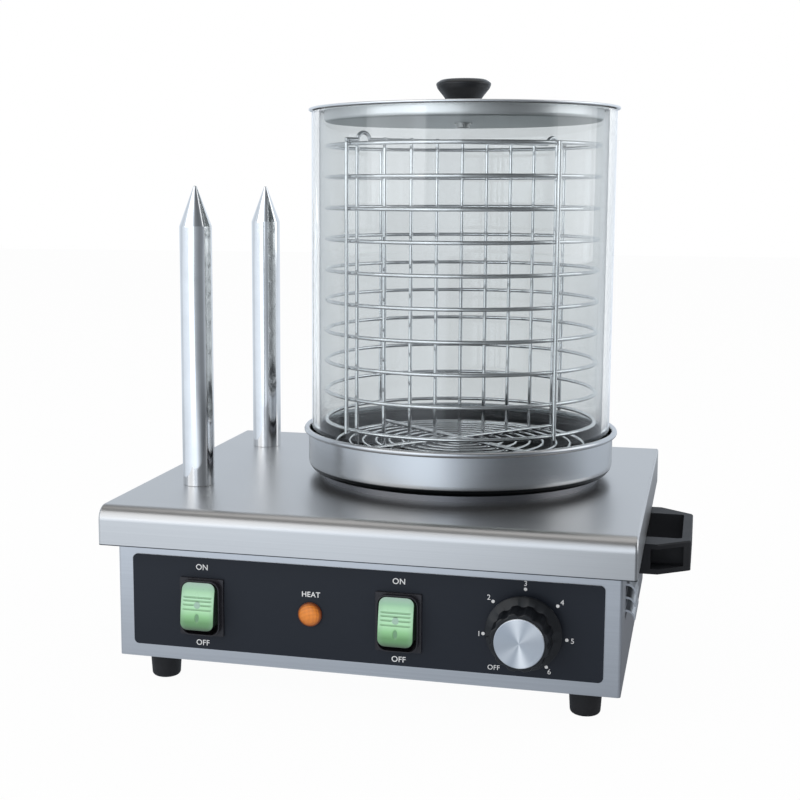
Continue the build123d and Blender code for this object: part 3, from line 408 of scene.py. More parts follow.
def spun_cap(name):
    """Spun aluminium disc: rings round the dial's axis, and the wedges of light and shade that such rings throw,
    painted into its colour as painted highlights and painted shade.

    A wedge is a high power of the cosine of the angle from its own line through the middle."""
    f = Finish(name, metallic=1.0)
    p = f.place()
    x = f.axis(p, "X") * 1000 - DIAL_X
    z = f.axis(p, "Z") * 1000 - DIAL_Z
    radius = (x * x + z * z).math("SQRT").math("MAXIMUM", 0.05)

    def wedge(degrees, power):
        turned = (x * cos(radians(degrees)) + z * sin(radians(degrees))) / radius
        return turned.math("MAXIMUM", 0.0) ** power

    # Painted highlights and painted shade: bright and dark wedges of reflected light set into the base colour.
    painted_light_fan = 0.17 + 0.78 * wedge(-82, 22) + 0.50 * wedge(98, 18) + 0.38 * wedge(44, 14) + 0.28 * wedge(228, 20)
    painted_light_fan = painted_light_fan + 0.06 * wedge(0, 6) - 0.12 * wedge(72, 30) - 0.12 * wedge(252, 30) - 0.12 * wedge(140, 8)
    rings = f.noise(f.joined(radius * 5.5, 0.0, 0.0))
    f.set("Base Color", f.blend(painted_light_fan, (0.40, 0.43, 0.47), (1.0, 1.0, 1.0)))
    f.set("Roughness", 0.26 + 0.16 * rings)
    f.bump((radius * 24).math("SINE") * 0.5 + rings, 0.00003, 0.5)
    return f.material


def plain_metal(name, tone, roughness):
    """A plain metal fitting's finish, with clouding and a fine grain."""
    f = Finish(name, metallic=1.0)
    clouds = f.noise(f.mapped(), scale=120.0, detail=4.0)
    f.set("Base Color", f.blend(clouds, scaled(tone, 0.8), scaled(tone, 1.15)))
    f.set("Roughness", roughness + 0.14 * (clouds - 0.5))
    f.bump(clouds, 0.0001, 0.15)
    return f.material


def pan_inside(radius, z, _):
    """The pan's inside, and in part the round under its wall: painted dark as shade."""
    inside = (1 - radius.step(PAN_R - 0.6, PAN_R - 0.2)) * (1 - z.step(144.0, 146.0))
    return inside.math("MAXIMUM", (1 - z.step(119.8, 122.8)) * 0.75)


def lid_underside(radius, _, up):
    """The lid's downward face, inside its wall: painted darker as shade."""
    return (0 - up).step(0.5, 0.9) * (1 - radius.step(91.0, 92.0))


FINISHES = {
    "worktop_steel": brushed_sheet("worktop_steel", (0.56, 0.56, 0.56), (0.58, 0.57, 0.56), True, 0.30, 91.9),
    "casing_steel": brushed_sheet("casing_steel", (0.56, 0.57, 0.59), (0.56, 0.57, 0.59), False, 0.32),
    "rear_steel": brushed_sheet("rear_steel", (0.55, 0.55, 0.56), (0.56, 0.56, 0.56), False, 0.34),
    "base_steel": brushed_sheet("base_steel", (0.50, 0.50, 0.50), (0.52, 0.52, 0.51), False, 0.38),
    "panel_black": coated_panel("panel_black"),
    "switch_black": moulded("switch_black", (0.018, 0.016, 0.021), 0.30, 0.4, 0.3),
    "rocker_green": lit_green("rocker_green"),
    "lamp_amber": amber_lens("lamp_amber"),
    "lamp_housing": moulded("lamp_housing", (0.55, 0.55, 0.50), 0.5),
    "thermostat_case": moulded("thermostat_case", (0.60, 0.58, 0.52), 0.55),
    "knob_black": moulded("knob_black", (0.006, 0.007, 0.009), 0.36, 0.5, level=0.4),
    "knob_cap_aluminium": spun_cap("knob_cap_aluminium"),
    "lid_knob_black": moulded("lid_knob_black", (0.014, 0.015, 0.017), 0.36, 0.5, 0.1),
    "handle_plastic": moulded("handle_plastic", (0.020, 0.021, 0.024), 0.50, 0.8, level=0.18),
    "foot_rubber": moulded("foot_rubber", (0.018, 0.018, 0.020), 0.62, 1.0),
    "gland_plastic": moulded("gland_plastic", (0.022, 0.022, 0.024), 0.45, 0.6),
    "wire_chrome": bright_wire("wire_chrome", (0.80, 0.81, 0.82), 0.08),
    "spike_steel": bright_wire("spike_steel", (0.82, 0.82, 0.82), 0.09),
    "bright_steel": bright_wire("bright_steel", (0.72, 0.72, 0.72), 0.2),
    "zinc_fastener": bright_wire("zinc_fastener", (0.50, 0.50, 0.49), 0.36),
    "tinned_brass": plain_metal("tinned_brass", (0.70, 0.64, 0.46), 0.35),
    "copper_sensor": plain_metal("copper_sensor", (0.66, 0.38, 0.26), 0.32),
    "element_sheath": plain_metal("element_sheath", (0.20, 0.19, 0.18), 0.45),
    "heating_plate_metal": turned_metal("heating_plate_metal", (0.20, 0.20, 0.21), 0.36, 0.4),
    # pan_steel: the pan's inside and the round under its wall are painted near black as shade.
    "pan_steel": turned_metal("pan_steel", (0.53, 0.54, 0.55), 0.25, 0.08, pan_inside, (0.014, 0.016, 0.018), 0.1),
    # lid_steel: the lid's downward face is painted darker as shade.
    "lid_steel": turned_metal("lid_steel", (0.87, 0.89, 0.90), 0.32, 0.10, lid_underside, (0.44, 0.47, 0.47), 0.18),
    "cylinder_glass": clear_glass("cylinder_glass"),
}
ink = moulded("panel_lettering", (0.90, 0.91, 0.92), 0.5, 0.1)


# Meshes


def piece(name, points, faces, slot, body, node=None, sharp=32.0):
    """A mesh from points in millimetres, welded, shaded smooth up to an angle, and set on its body."""
    mesh = bpy.data.meshes.new(name)
    mesh.from_pydata((np.asarray(points, float).reshape(-1, 3) * 0.001).tolist(), [], [list(f) for f in faces])
    edit = bmesh.new()
    edit.from_mesh(mesh)
    bmesh.ops.remove_doubles(edit, verts=edit.verts, dist=1e-6)
    bmesh.ops.recalc_face_normals(edit, faces=edit.faces)
    edit.to_mesh(mesh)
    edit.free()
    settle(name, mesh, slot, body, node, sharp)


def settle(name, mesh, slot, body, node=None, sharp=32.0):
    """Puts a finished mesh in the scene with its finish and its body, and hides the node it stands for."""
    mesh.shade_smooth()
    mesh.set_sharp_from_angle(angle=radians(sharp))
    made = bpy.data.objects.new(name, mesh)
    bpy.context.scene.collection.objects.link(made)
    mesh.materials.clear()
    mesh.materials.append(FINISHES[slot] if slot in FINISHES else ink)
    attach(made, body)
    slot in FINISHES
    if node:
        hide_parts(node)
    return made


def grid_faces(rows, columns, close_rows=False, close_columns=False):
    """The quads of a grid of points; a closed way joins its last line to its first."""
    i, j = np.meshgrid(np.arange(rows - (not close_rows)), np.arange(columns - (not close_columns)), indexing="ij")
    i2, j2 = (i + 1) % rows, (j + 1) % columns
    return np.stack([i * columns + j, i2 * columns + j, i2 * columns + j2, i * columns + j2], -1).reshape(-1, 4)


def rounded(corners, closed=True, steps=8):
    """A line through corners (u, v, radius), each replaced by the arc of its radius that touches both sides."""
    c = np.array([(u, v) for u, v, *_ in corners], float)
    radii = [k[2] if len(k) > 2 else 0.0 for k in corners]
    line = []
    for i, (corner, radius) in enumerate(zip(c, radii)):
        if radius == 0 or (not closed and i in (0, len(c) - 1)):
            line.append(corner)
            continue
        a = c[i - 1] - corner
        b = c[(i + 1) % len(c)] - corner
        a, b = a / np.hypot(*a), b / np.hypot(*b)
        half = np.arccos(np.clip(a @ b, -1, 1)) / 2
        centre = corner + (a + b) / np.hypot(*(a + b)) * radius / np.sin(half)
        start, end = corner + a * radius / np.tan(half), corner + b * radius / np.tan(half)
        t = np.linspace(0, 1, steps + 1)[:, None]
        chord = start + (end - start) * t - centre
        line.extend(centre + chord / np.hypot(chord[:, 0], chord[:, 1])[:, None] * radius)
    # Points held near both ends of each long run keep its smooth shading flat.
    held = []
    for start, end in zip(line, line[1:] + (line[:1] if closed else [])):
        run = np.hypot(*(end - start))
        held += [start] + [start + (end - start) * k for k in (0.2 / run, 1 - 0.2 / run) if run > 2.0]
    return np.array(held if closed else held + [line[-1]])


def sheet_line(line, thickness):
    """The closed outline of a sheet bent along a line: the line moved half a thickness to each side."""
    along = np.gradient(line, axis=0)
    side = np.stack([-along[:, 1], along[:, 0]], 1) / np.hypot(along[:, 0], along[:, 1])[:, None]
    return np.concatenate([line + side * thickness / 2, (line - side * thickness / 2)[::-1]])


def spun(name, profile, centre, slot, body, node=None, axis="Z", segments=96, sharp=32.0):
    """A closed half profile of (radius, height) turned once round its axis: point = centre + radius
    times the circle's direction + height along the axis."""
    angle = np.linspace(0, 2 * pi, segments, endpoint=False)
    r, h = profile[:, 0][:, None], profile[:, 1][:, None]
    across, up, along = r * np.cos(angle), r * np.sin(angle), h + 0 * angle
    order = (across, up, along) if axis == "Z" else (across, -along, up)
    points = np.stack(order, -1) + np.array(centre, float)
    piece(name, points, grid_faces(len(profile), segments, True, True), slot, body, node, sharp)


def wire(path, radius, up, sides=12, closed=False):
    """A round wire's points and faces: point = path + radius times (cos of the angle times side + sin
    times the normal), where side is square to the path and to up. Open ends are slightly rounded."""
    path = np.asarray(path, float)
    if not closed:
        first, last = path[1] - path[0], path[-1] - path[-2]
        held = [path[0] + 0.4 * first / np.linalg.norm(first)], [path[-1] - 0.4 * last / np.linalg.norm(last)]
        path = np.concatenate([path[:1], held[0], path[1:-1], held[1], path[-1:]])
    along = np.roll(path, -1, 0) - np.roll(path, 1, 0) if closed else np.gradient(path, axis=0)
    along /= np.linalg.norm(along, axis=1)[:, None]
    side = np.cross(along, np.array(up, float))
    side /= np.linalg.norm(side, axis=1)[:, None]
    other = np.cross(side, along)
    angle = np.linspace(0, 2 * pi, sides, endpoint=False)
    circle = np.cos(angle)[None, :, None] * side[:, None] + np.sin(angle)[None, :, None] * other[:, None]
    rings = path[:, None] + radius * circle
    if closed:
        return rings.reshape(-1, 3), grid_faces(len(path), sides, True, True).tolist()
    ends = [path[:1, None] + 0.7 * radius * circle[:1] - 0.3 * radius * along[0],
            path[-1:, None] + 0.7 * radius * circle[-1:] + 0.3 * radius * along[-1]]
    rings = np.concatenate([ends[0], rings, ends[1]])
    rows = len(rings)
    faces = grid_faces(rows, sides, False, True).tolist()
    faces += [list(range(sides))[::-1], list(range((rows - 1) * sides, rows * sides))]
    return rings.reshape(-1, 3), faces


def wire_piece(name, wires, slot, body, node=None):
    """One piece from several wires."""
    points, faces, start = [], [], 0
    for p, f in wires:
        points.append(p)
        faces += [[v + start for v in face] for face in f]
        start += len(p)
    piece(name, np.concatenate(points), faces, slot, body, node, 60.0)


def ring_path(radius, z, count=120):
    """A circle round the pan's axis."""
    a = np.linspace(0, 2 * pi, count, endpoint=False)
    return np.stack([PAN_X + radius * np.cos(a), PAN_Y + radius * np.sin(a), 0 * a + z], 1)


def on_spoke(angle, radius, z):
    """A point at a radius and an angle about the pan's axis."""
    return np.array([PAN_X + radius * cos(radians(angle)), PAN_Y + radius * sin(radians(angle)), z])


def straight(start, end, count=2):
    """Points on a straight run."""
    return np.linspace(start, end, count)


def finished_copy(node, slot, body, edge):
    """A welded copy of a CAD node with smooth bends and, where asked, small rounds on its edges."""
    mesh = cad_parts[node].data.copy()
    mesh.name = node + "_finished"
    edit = bmesh.new()
    edit.from_mesh(mesh)
    bmesh.ops.remove_doubles(edit, verts=edit.verts, dist=2e-6)
    bmesh.ops.dissolve_limit(edit, angle_limit=radians(0.5), verts=edit.verts, edges=edit.edges)
    edit.to_mesh(mesh)
    edit.free()
    made = settle(node + "_finished", mesh, slot, body, node, 28.0)
    if edge:
        bevel = made.modifiers.new("edges", "BEVEL")
        bevel.width = edge * 0.001
        bevel.segments = 2
        bevel.limit_method = "ANGLE"
        bevel.angle_limit = radians(40)
    weighted = made.modifiers.new("faces", "WEIGHTED_NORMAL")
    weighted.keep_sharp = True


# Case


def case_pieces():
    """The folded sheets, the mouldings on them and the small fittings, from their CAD shapes."""
    for node, slot, edge in (
        ("worktop", "worktop_steel", 0.0),
        ("casing", "casing_steel", 0.0),
        ("rear_panel", "rear_steel", 0.0),
        ("base_plate", "base_steel", 0.0),
        ("control_panel", "panel_black", 0.0),
        ("handle_left", "handle_plastic", 0.4),
        ("handle_right", "handle_plastic", 0.4),
        ("switch_frame_left", "switch_black", 0.18),
        ("switch_frame_right", "switch_black", 0.18),
        ("cord_gland", "gland_plastic", 0.2),
    ):
        finished_copy(node, slot, "case", edge)


def upright(node):
    """The place on the counter of a CAD node's upright middle line."""
    low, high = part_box(node)
    return 500 * (low.x + high.x), 500 * (low.y + high.y), 0


def feet():
    """Tapered feet with a rounded tread, and a sunk well in each for its screw."""
    profile = rounded([(2.1, 7), (4.4, 7), (4.4, 0), (8.9, 0, 2.6), (10.05, 17.9, 0.4), (2.1, 17.9)])
    for node in ("foot_front_left", "foot_front_right", "foot_rear_left", "foot_rear_right"):
        spun(node + "_moulding", profile, upright(node), "foot_rubber", "case", node, segments=64)


def spikes():
    """Polished spikes: a long bar with a conical point and a small rounded tip."""
    profile = rounded([(0, SPIKE_FOOT_Z), (SPIKE_FOOT_R, SPIKE_FOOT_Z), (SPIKE_FOOT_R, TOP_Z),
                       (SPIKE_R, TOP_Z, 0.3), (SPIKE_R, SPIKE_SHOULDER, 1.2), (0.9, SPIKE_TIP, 0.7),
                       (0, SPIKE_TIP)])
    for node in ("spike_front", "spike_rear"):
        spun(node + "_bar", profile, upright(node), "spike_steel", "case", node, segments=96, sharp=25)


def heating_plate():
    """Round plate under the pan, with a rounded upper edge and a boss in the worktop's opening."""
    profile = rounded([(0, TOP_Z - 1.2), (PLATE_BOSS_R, TOP_Z - 1.2), (PLATE_BOSS_R, TOP_Z), (PLATE_R, TOP_Z),
                       (PLATE_R, PLATE_Z, 0.8), (0, PLATE_Z)])
    spun("heating_plate_disc", profile, PAN_AXIS, "heating_plate_metal", "case", "heating_plate", segments=160)


# Controls


def rocker(side):
    """Rocker's skin: a crowned face with four grooves, a boss and an oval hollow, rounded into its sides.

    The face is a grid of level lines; each runs across the width left by the rounded corners, and stands
    out by the crown's parabola less the grooves. The rim follows a quarter circle back to the sides."""
    width, height, corner, edge = 21.3, 29.2, 4.5, 0.6
    reach, crown = ROCKER_REACH, 1.0
    w, h, c = width / 2 - edge, height / 2 - edge, corner - edge
    z = np.linspace(-h, h, 133)[:, None]
    s = np.linspace(-1, 1, 61)[None, :]
    past = np.clip(np.abs(z) - (h - c), 0, c)
    x = s * (w - c + np.sqrt(np.maximum(c * c - past * past, 0)))
    out = reach - crown * ((np.abs(z) + edge) / (height / 2)) ** 2 + 0 * x
    inside = 1 / (1 + np.exp((np.abs(x) - 8.8) * 6))
    for level in RIB_LEVELS:
        groove = np.exp(-(((z - level) / 0.42) ** 4))
        out -= 0.40 * groove * inside
    boss = 1 / (1 + np.exp((np.hypot(x, z - BOSS_Z) - 2.1) * 8))
    out = out * (1 - boss) + boss * (reach + 0.1)
    oval = 1 / (1 + np.exp((np.hypot(x / 0.55, z - OVAL_Z) - 2.7) * 5))
    out -= 0.35 * oval
    z = z + 0 * x
    face = np.stack([x, -out, z], -1)
    rim = np.concatenate([face[0, :-1], face[:-1, -1], face[-1, :0:-1], face[:0:-1, 0]])
    ahead = np.roll(rim, -1, 0) - np.roll(rim, 1, 0)
    normal = np.stack([ahead[:, 2], 0 * ahead[:, 0], -ahead[:, 0]], 1)
    normal /= np.linalg.norm(normal, axis=1)[:, None]
    turn = np.linspace(0, pi / 2, 6)[:, None, None]
    back = np.array([0, 1, 0])
    round_part = rim + edge * (np.sin(turn) * normal + (1 - np.cos(turn)) * back)
    waist = round_part[-1] * [1, 0, 0.918] + [0, 4.0 - reach, 0]
    heel = round_part[-1] * [1, 0, 0.85] + [0, -1.5, 0]
    walls = np.concatenate([round_part, waist[None], heel[None], (heel * [0, 1, 0])[None]])
    rows, columns = face.shape[:2]
    faces = grid_faces(rows, columns).tolist()
    faces += (grid_faces(len(walls), len(rim), False, True) + rows * columns).tolist()
    points = np.concatenate([face.reshape(-1, 3), walls.reshape(-1, 3)])
    tilt = radians(-ROCKER_TILT)
    y, up = points[:, 1].copy(), points[:, 2].copy()
    points[:, 1] = y * cos(tilt) - up * sin(tilt) + PANEL_FRONT + 3.4
    points[:, 2] = y * sin(tilt) + up * cos(tilt) + SWITCH_Z
    points[:, 0] += SWITCH_XS[side]
    piece(f"rocker_{side}_face", points, faces, "rocker_green", f"{side}_rocker", f"rocker_{side}", 50.0)


def lamp_lens():
    """Domed lens with a stepped edge."""
    profile = rounded([(0, 0), (7.3, 0), (7.3, 1.5, 0.5), (4.9, 3.7, 4.0), (0, 4.4)])
    spun("lamp_lens_dome", profile, (LAMP_X, PANEL_FRONT, LAMP_Z), "lamp_amber", "case", "lamp_lens", "Y", 72)


def dial_knob():
    """Skirted knob: each level is a circle on the skirt and a fluted outline on the grip, where a flute is
    the arc of a circle that bites into the grip's circle."""
    angle = np.linspace(0, 2 * pi, 360, endpoint=False)
    grip, bite, depth, count = 17.6, 3.6, 1.3, 12
    reach = grip - depth + bite
    turn = (angle + pi / count) % (2 * pi / count) - pi / count
    inner = reach * np.cos(turn) - np.sqrt(np.maximum(bite ** 2 - (reach * np.sin(turn)) ** 2, 0))
    fluted = np.where(np.abs(reach * np.sin(turn)) < bite, np.minimum(inner, grip), grip)
    soft = np.exp(-np.linspace(-2, 2, 9) ** 2)
    fluted = np.convolve(np.tile(fluted, 3), soft / soft.sum(), "same")[360:720]
    levels = [(19.4, 1.2), (SKIRT_R - 0.3, 1.2), (SKIRT_R, 1.5), (SKIRT_R, 2.4), (SKIRT_R - 0.4, 2.8),
              (fluted + 0.9, 4.7), (fluted + 0.2, 5.0), (fluted, 5.6), (fluted - 0.25, 18.8), (fluted - 0.5, 19.6),
              (fluted - 1.1, 20.0), (CAP_R + 0.15, 20.0), (CAP_R + 0.15, 19.2), (0.0, 19.2), (0.0, -4.1),
              (6.0, -4.1), (6.0, 3.2), (19.4, 3.2)]
    points = np.stack([np.stack([r * np.cos(angle), 0 * angle - h, r * np.sin(angle)], -1) for r, h in levels])
    points += [DIAL_X, KNOB_BACK, DIAL_Z]
    faces = grid_faces(len(levels), 360, True, True)
    piece("thermostat_knob_moulding", points, faces, "knob_black", "dial", "thermostat_knob", 30.0)
    cap = rounded([(0, 19.2), (CAP_R, 19.2), (CAP_R, 21.4, 0.5), (0, 21.4)])
    spun("knob_cap_disc", cap, (DIAL_X, KNOB_BACK, DIAL_Z), "knob_cap_aluminium", "dial", "knob_cap", "Y", 96)
    pointer = np.array([(16.6, 2.7), (21.7, 2.7), (21.9, 3.2), (21.4, 4.2), (17.0, 5.6)])
    a = radians(90 + 2 * DIAL_STEP)
    out, side = np.array([cos(a), 0, sin(a)]), np.array([-sin(a), 0, cos(a)])
    line = pointer[:, :1] * out + pointer[:, 1:] * np.array([0, -1, 0])
    points = np.stack([line - 0.55 * side, line + 0.55 * side]) + [DIAL_X, KNOB_BACK, DIAL_Z]
    faces = grid_faces(2, 5, False, True).tolist() + [[4, 3, 2, 1, 0], [5, 6, 7, 8, 9]]
    piece("knob_pointer_rib", points, faces, "knob_black", "dial")


def lettering(name, words, x, z, size, weight=0.0):
    """Flat printed words on the panel, centred on a place."""
    curve = bpy.data.curves.new(name, "FONT")
    curve.body = words
    curve.size = size * 0.001
    curve.align_x = "CENTER"
    curve.align_y = "CENTER"
    curve.extrude = 0.00002
    curve.offset = weight * 0.001
    curve.space_character = 1.04
    holder = bpy.data.objects.new(name, curve)
    bpy.context.scene.collection.objects.link(holder)
    bpy.context.view_layer.update()
    mesh = bpy.data.meshes.new_from_object(holder.evaluated_get(bpy.context.evaluated_depsgraph_get()))
    bpy.data.objects.remove(holder)
    co = np.empty(len(mesh.vertices) * 3)
    mesh.vertices.foreach_get("co", co)
    co = co.reshape(-1, 3)
    turned = np.stack([co[:, 0] + x * 0.001, PANEL_FRONT * 0.001 - co[:, 2] - 0.00003, co[:, 1] + z * 0.001], 1)
    mesh.vertices.foreach_set("co", turned.ravel())
    mesh.name = name
    settle(name, mesh, "ink", "case")


def panel_print():
    """The words by the switches and the lamp, and the dial's dots and numbers."""
    for side, x in SWITCH_XS.items():
        lettering(f"word_on_{side}", "ON", x, 78.5, 4.95, 0.05)
        lettering(f"word_off_{side}", "OFF", x, 30.9, 4.85, 0.05)
    lettering("word_heat", "HEAT", LAMP_X + 0.4, 66.5, 4.55, 0.05)
    dot = rounded([(0, 0.0), (1.0, 0.0), (1.0, 0.05), (0, 0.05)])
    for i in range(1, 7):
        a = radians(90 + (3 - i) * DIAL_STEP)
        place = (DIAL_X + DOT_R * cos(a), PANEL_FRONT - 0.01, DIAL_Z + DOT_R * sin(a))
        spun(f"dial_dot_{i}", dot, place, "ink", "case", axis="Y", segments=24)
        reach = FIRST_DIGIT_R if i == 1 else DIGIT_R
        lettering(f"dial_mark_{i}", str(i), DIAL_X + reach * cos(a), DIAL_Z + reach * sin(a), 4.4)
    lettering("dial_mark_off", "OFF", DIAL_X - 17.7, DIAL_Z - 23.9, 4.1)


# Pan, wires, glass and lid


def pan():
    """Spun pan: a flat floor, a round corner, a straight wall and a rolled rim, all one sheet thick."""
    wall = PAN_R - SHEET / 2
    floor_z = PLATE_Z + SHEET / 2
    bead = np.linspace(pi, -0.9 * pi, 22)
    bead_r = 1.5
    curl = np.stack([wall + bead_r + bead_r * np.cos(bead), PAN_RIM_Z + bead_r * np.sin(bead)], 1)
    lower = rounded([(80, floor_z), (wall, floor_z, 6.9), (wall, PAN_RIM_Z - 0.2)], closed=False, steps=14)
    line = np.concatenate([straight((0, floor_z), (80, floor_z), 6)[:-1], lower, curl])
    profile = sheet_line(line, SHEET)
    spun("pan_spinning", profile, PAN_AXIS, "pan_steel", "water_pan", "pan", segments=200, sharp=50)


def glass_cylinder():
    """Glass tube with ground and polished rims."""
    outer, inner, edge = GLASS_R, GLASS_R - GLASS_WALL, 1.0
    corners = [(outer, GLASS_Z0, edge), (outer, GLASS_Z1, edge), (inner, GLASS_Z1, edge), (inner, GLASS_Z0, edge)]
    profile = rounded(corners, steps=5)
    spun("glass_tube", profile, PAN_AXIS, "cylinder_glass", "cylinder", "glass_cylinder", segments=256)


def lid():
    """Dished lid: a floor, a wall inside the glass and a rim over it, with its edge turned under in a hem."""
    z = LID_FLOOR + SHEET / 2
    line = rounded([(80, z), (LID_DISH_R, z, 2.2), (LID_DISH_R, LID_Z + 0.9, 1.4), (LID_RIM_R, LID_Z + 0.9)],
                   closed=False, steps=8)
    line = np.concatenate([straight((0, z), (80, z), 6)[:-1], line])
    spun("lid_spinning", sheet_line(line, SHEET), PAN_AXIS, "lid_steel", "cover", "lid", segments=200, sharp=50)
    turn = np.linspace(0, 2 * pi, 16, endpoint=False)
    hem = np.stack([LID_RIM_R + 0.05 + 0.8 * np.cos(turn), LID_Z + 0.85 + 0.75 * np.sin(turn)], 1)
    spun("lid_hem", hem, PAN_AXIS, "lid_steel", "cover", segments=200, sharp=80)
    z = LID_FLOOR + SHEET
    profile = rounded([(0, z), (11.5, z), (11.5, z + 2.4, 0.8), (10.4, z + 5.0, 3.0), (10.4, z + 13.0, 12.0),
                       (17.2, z + 21.4, 6.0), (18.3, z + 24.6, 1.6), (14.6, z + 27.2, 7.0), (0, z + 27.8)], steps=10)
    spun("lid_knob_moulding", profile, PAN_AXIS, "lid_knob_black", "cover", "lid_knob", segments=96, sharp=50)


def basket():
    """Ten rings welded inside four uprights."""
    z = np.linspace(RING_FIRST, RING_LAST, RING_COUNT)
    wires = [wire(ring_path(RING_R, level), WIRE_R, (0, 0, 1), closed=True) for level in z]
    for i in range(4):
        a = SPOKE_ANGLE + 90 * i
        low, high = on_spoke(a, BASKET_R, RING_FIRST - 2.5), on_spoke(a, BASKET_R, RING_LAST + 1.0)
        wires.append(wire(straight(low, high), WIRE_R, (1, 0, 0)))
    wire_piece("basket_wires", wires, "wire_chrome", "sausage_basket", "basket")


def divider():
    """A grid of upright wires on a top wire whose ends arch up as lifting loops and run out over the rim."""
    a = SPOKE_ANGLE
    square = np.array([-sin(radians(a)), cos(radians(a)), 0])
    top, bottom = DIVIDER_TOP, GRILL_Z + 1.65
    loop, middle = LOOP_R, LOOP_PLACE
    arch = np.linspace(pi, 0, 15)
    run = [straight(on_spoke(a, -93, top), on_spoke(a, -middle - loop, top), 2)]
    run.append(np.array([on_spoke(a, -middle + loop * np.cos(t), top + loop * np.sin(t)) for t in arch]))
    run.append(np.array([on_spoke(a, middle + loop * np.cos(t), top + loop * np.sin(t)) for t in arch]))
    run.append(straight(on_spoke(a, middle + loop, top), on_spoke(a, 93, top), 2))
    path = np.concatenate(run)
    keep = np.concatenate([[True], np.linalg.norm(np.diff(path, axis=0), axis=1) > 1e-6])
    wires = [wire(path[keep], WIRE_R, square)]
    pitch = 2 * (middle + loop + 0.2) / 8
    for i in range(9):
        d = (i - 4) * pitch
        high = top + WIRE_R if abs(d) < middle - loop else top
        wires.append(wire(straight(on_spoke(a, d, bottom), on_spoke(a, d, high)), WIRE_R, (1, 0, 0)))
    wire_piece("divider_wires", wires, "wire_chrome", "sausage_basket", "divider")


def grill():
    """Rings welded under a wire cross whose ends turn down as legs."""
    wires = []
    for i in range(9):
        r = 1.5 if i == 0 else 1.0
        level = GRILL_Z - GRILL_WIRE - r + 0.25
        path = ring_path(GRILL_R - GRILL_PITCH * i, level, 120 if i < 5 else 72)
        wires.append(wire(path, r, (0, 0, 1), closed=True, sides=10))
    for angle in (SPOKE_ANGLE, SPOKE_ANGLE + 90):
        ends = []
        for turn in (180, 0):
            bend = rounded([(0, GRILL_Z), (LEG_R, GRILL_Z, 3.0), (LEG_R, 120.8)], closed=False, steps=6)
            ends.append(np.array([on_spoke(angle + turn, r, z) for r, z in bend[1:]]))
        path = np.concatenate([ends[0][::-1], ends[1]])
        square = np.array([-sin(radians(angle)), cos(radians(angle)), 0])
        wires.append(wire(path, GRILL_WIRE, square))
    wire_piece("grill_wires", wires, "wire_chrome", "steam_grill", "grill")


# Setting

# What the metal mirrors, far off and close to the object: (degrees from +X, brightness).
STUDIO = [(-180, 0.92), (-150, 1.05), (-126, 1.14), (-124, 1.60), (-91, 1.60), (-88, 0.62), (-72, 0.38),
          (-50, 0.25), (-30, 0.26), (-14, 0.50), (4, 0.72), (6, 0.85), (30, 0.80), (55, 0.92), (75, 0.88),
          (125, 0.88), (165, 0.72), (174, 0.74), (176, 0.90)]
NEAR_STUDIO = [(-180, 0.80), (-150, 0.95), (-125, 1.18), (-104, 1.32), (-92, 1.24), (-82, 0.90), (-70, 0.50),
               (-58, 0.22), (-45, 0.13), (-16, 0.14), (0, 0.28), (25, 0.72), (90, 0.60), (150, 0.62)]


def round_about(nodes, x, y, stops):
    """A cool grey that follows the direction round the object: stops are (degrees from +X, brightness)."""
    turn = y.math("ARCTAN2", x) / (2 * pi) + 0.5
    return nodes.ramp(turn, [((degrees + 180) / 360, (0.90 * v, 0.99 * v, 1.10 * v)) for degrees, v in stops])


def pale_floor():
    """White floor with a soft shadow. The metal's reflections see it as a studio's grey floor instead: bright
    to the front left, dark to the front right, and painted darker close to the object as shade."""
    f = Finish("pale_floor", roughness=0.9)
    cloud = f.noise(f.mapped(), scale=3.0)
    f.set("Base Color", f.blend(cloud, (0.80, 0.80, 0.80), (0.84, 0.84, 0.84)))
    x, y = (f.axis(f.place(), a) for a in "XY")
    far = round_about(f, x, y, STUDIO)
    near = round_about(f, x, y, NEAR_STUDIO)
    tone = f.blend((x * x + y * y).math("SQRT").step(0.8, 1.5), near, far)
    # The strip before the front, and the one beside the right end, painted dark as the shade the case casts there.
    close = (1 - abs(x).step(0.25, 0.45)) * y.step(-0.62, -0.20) * (1 - y.step(-0.05, 0.05))
    before = f.ramp(x + 0.5, [(0.2, (0.62, 0.68, 0.76)), (0.5, (0.45, 0.50, 0.56)), (0.7, (0.56, 0.62, 0.70))])
    tone = f.blend(close * 0.9, tone, before)
    beside = x.step(0.10, 0.15) * (1 - x.step(0.24, 0.45)) * y.step(-0.25, -0.05) * (1 - y.step(0.5, 1.0))
    tone = f.blend(beside, tone, (0.16, 0.17, 0.19))
    seen = f.ray("Camera").math("MAXIMUM", f.ray("Transmission"))
    mirrored = f.mirrored()
    glow = f.tree.nodes.new("ShaderNodeEmission")
    f.feed(glow.inputs["Color"], f.blend(mirrored, (1.0, 1.0, 1.0), f.behind_glass(tone)))
    mix = f.tree.nodes.new("ShaderNodeMixShader")
    f.feed(mix.inputs[0], (seen * 0.97).math("MAXIMUM", mirrored))
    f.tree.links.new(f.shader.outputs[0], mix.inputs[1])
    f.tree.links.new(glow.outputs[0], mix.inputs[2])
    f.tree.links.new(mix.outputs[0], f.output.inputs[0])
    return f.material


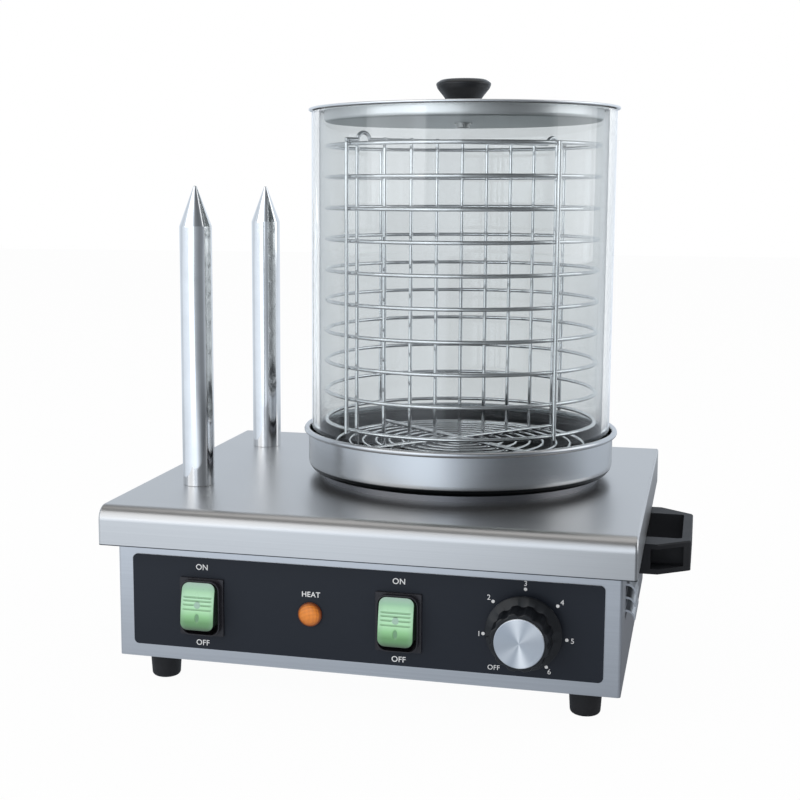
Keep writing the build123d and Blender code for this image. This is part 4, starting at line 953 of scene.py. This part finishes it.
def studio_light(w):
    """A plain pale world, white behind the object; metal reflects a studio round it, which is dark overhead
    and round the key lamp, where the lamps themselves are mirrored."""
    way = w.node("ShaderNodeTexCoord", output="Generated")
    x, y, z = (w.axis(way, a) for a in "XYZ")
    key = radians(-130), radians(31)
    towards_key = x * (cos(key[0]) * cos(key[1])) + y * (sin(key[0]) * cos(key[1])) + z * sin(key[1])
    overhead = w.blend(x.step(-0.3, 0.3), (0.20, 0.20, 0.20), (0.02, 0.02, 0.02))
    turned = radians(8)
    level = round_about(w, x * cos(turned) + y * sin(turned), y * cos(turned) - x * sin(turned), STUDIO)
    sky = w.blend(z.step(0.45, 0.85), level, overhead)
    sky = w.blend(towards_key.step(0.84, 0.95) * 0.8, sky, (0.1, 0.1, 0.1))
    seen = w.ray("Camera").math("MAXIMUM", w.ray("Transmission"))
    back = w.tree.nodes["Background"]
    plain_sky = w.blend(seen, (0.60, 0.60, 0.60), (1.0, 1.0, 1.0))
    w.feed(back.inputs["Color"], w.blend(w.mirrored(), plain_sky, w.behind_glass(sky)))


def setting():
    """Pale floor, soft lamps, a world that lights plainly, and the camera at the photograph's angle."""
    scene = bpy.context.scene
    scene.view_settings.view_transform = "Standard"

    mesh = bpy.data.meshes.new("floor")
    mesh.from_pydata([(-6, -6, 0), (6, -6, 0), (6, 6, 0), (-6, 6, 0)], [], [(0, 1, 2, 3)])
    floor = bpy.data.objects.new("floor", mesh)
    scene.collection.objects.link(floor)
    mesh.materials.append(pale_floor())
    scene.world = bpy.data.worlds.new("studio")
    scene.world.use_nodes = True
    studio_light(Nodes(scene.world.node_tree))

    def lamp(name, place, target, width, height, power, colour=(1, 1, 1)):
        data = bpy.data.lights.new(name, "AREA")
        data.shape = "RECTANGLE"
        data.size, data.size_y = width, height
        data.energy = power
        data.color = colour
        made = bpy.data.objects.new(name, data)
        scene.collection.objects.link(made)
        made.location = place
        made.rotation_euler = (Vector(target) - Vector(place)).to_track_quat("-Z", "Y").to_euler()

    lamp("soft_key", (-1.35, -1.6, 1.25), (0, 0, 0.2), 2.2, 2.2, 20, (0.96, 0.98, 1.0))
    lamp("soft_fill", (1.9, 0.4, 0.9), (0, 0, 0.15), 1.6, 1.6, 8)
    lamp("soft_top", (0.2, 0.3, 2.0), (0, 0, 0.1), 2.2, 2.0, 9)

    data = bpy.data.cameras.new("camera")
    data.lens = 63.53
    data.sensor_width = 36.0
    data.shift_x = 0.0819
    data.shift_y = -0.0094
    data.clip_start = 0.05
    camera = bpy.data.objects.new("camera", data)
    camera.location = (0.19535, -0.92256, 0.30619)
    camera.rotation_euler = (radians(90 - 8.12), 0, radians(14.91))
    scene.collection.objects.link(camera)
    scene.camera = camera


def main():
    """Gives every CAD node its finish, makes the finished pieces and sets the scene."""
    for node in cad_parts.values():
        for place in node.material_slots:
            name = place.material.name.split(".")[0] if place.material else ""
            if name in FINISHES:
                place.material = FINISHES[name]
    case_pieces()
    feet()
    spikes()
    heating_plate()
    for side in SWITCH_XS:
        rocker(side)
    lamp_lens()
    dial_knob()
    panel_print()
    pan()
    glass_cylinder()
    lid()
    basket()
    divider()
    grill()
    setting()


main()
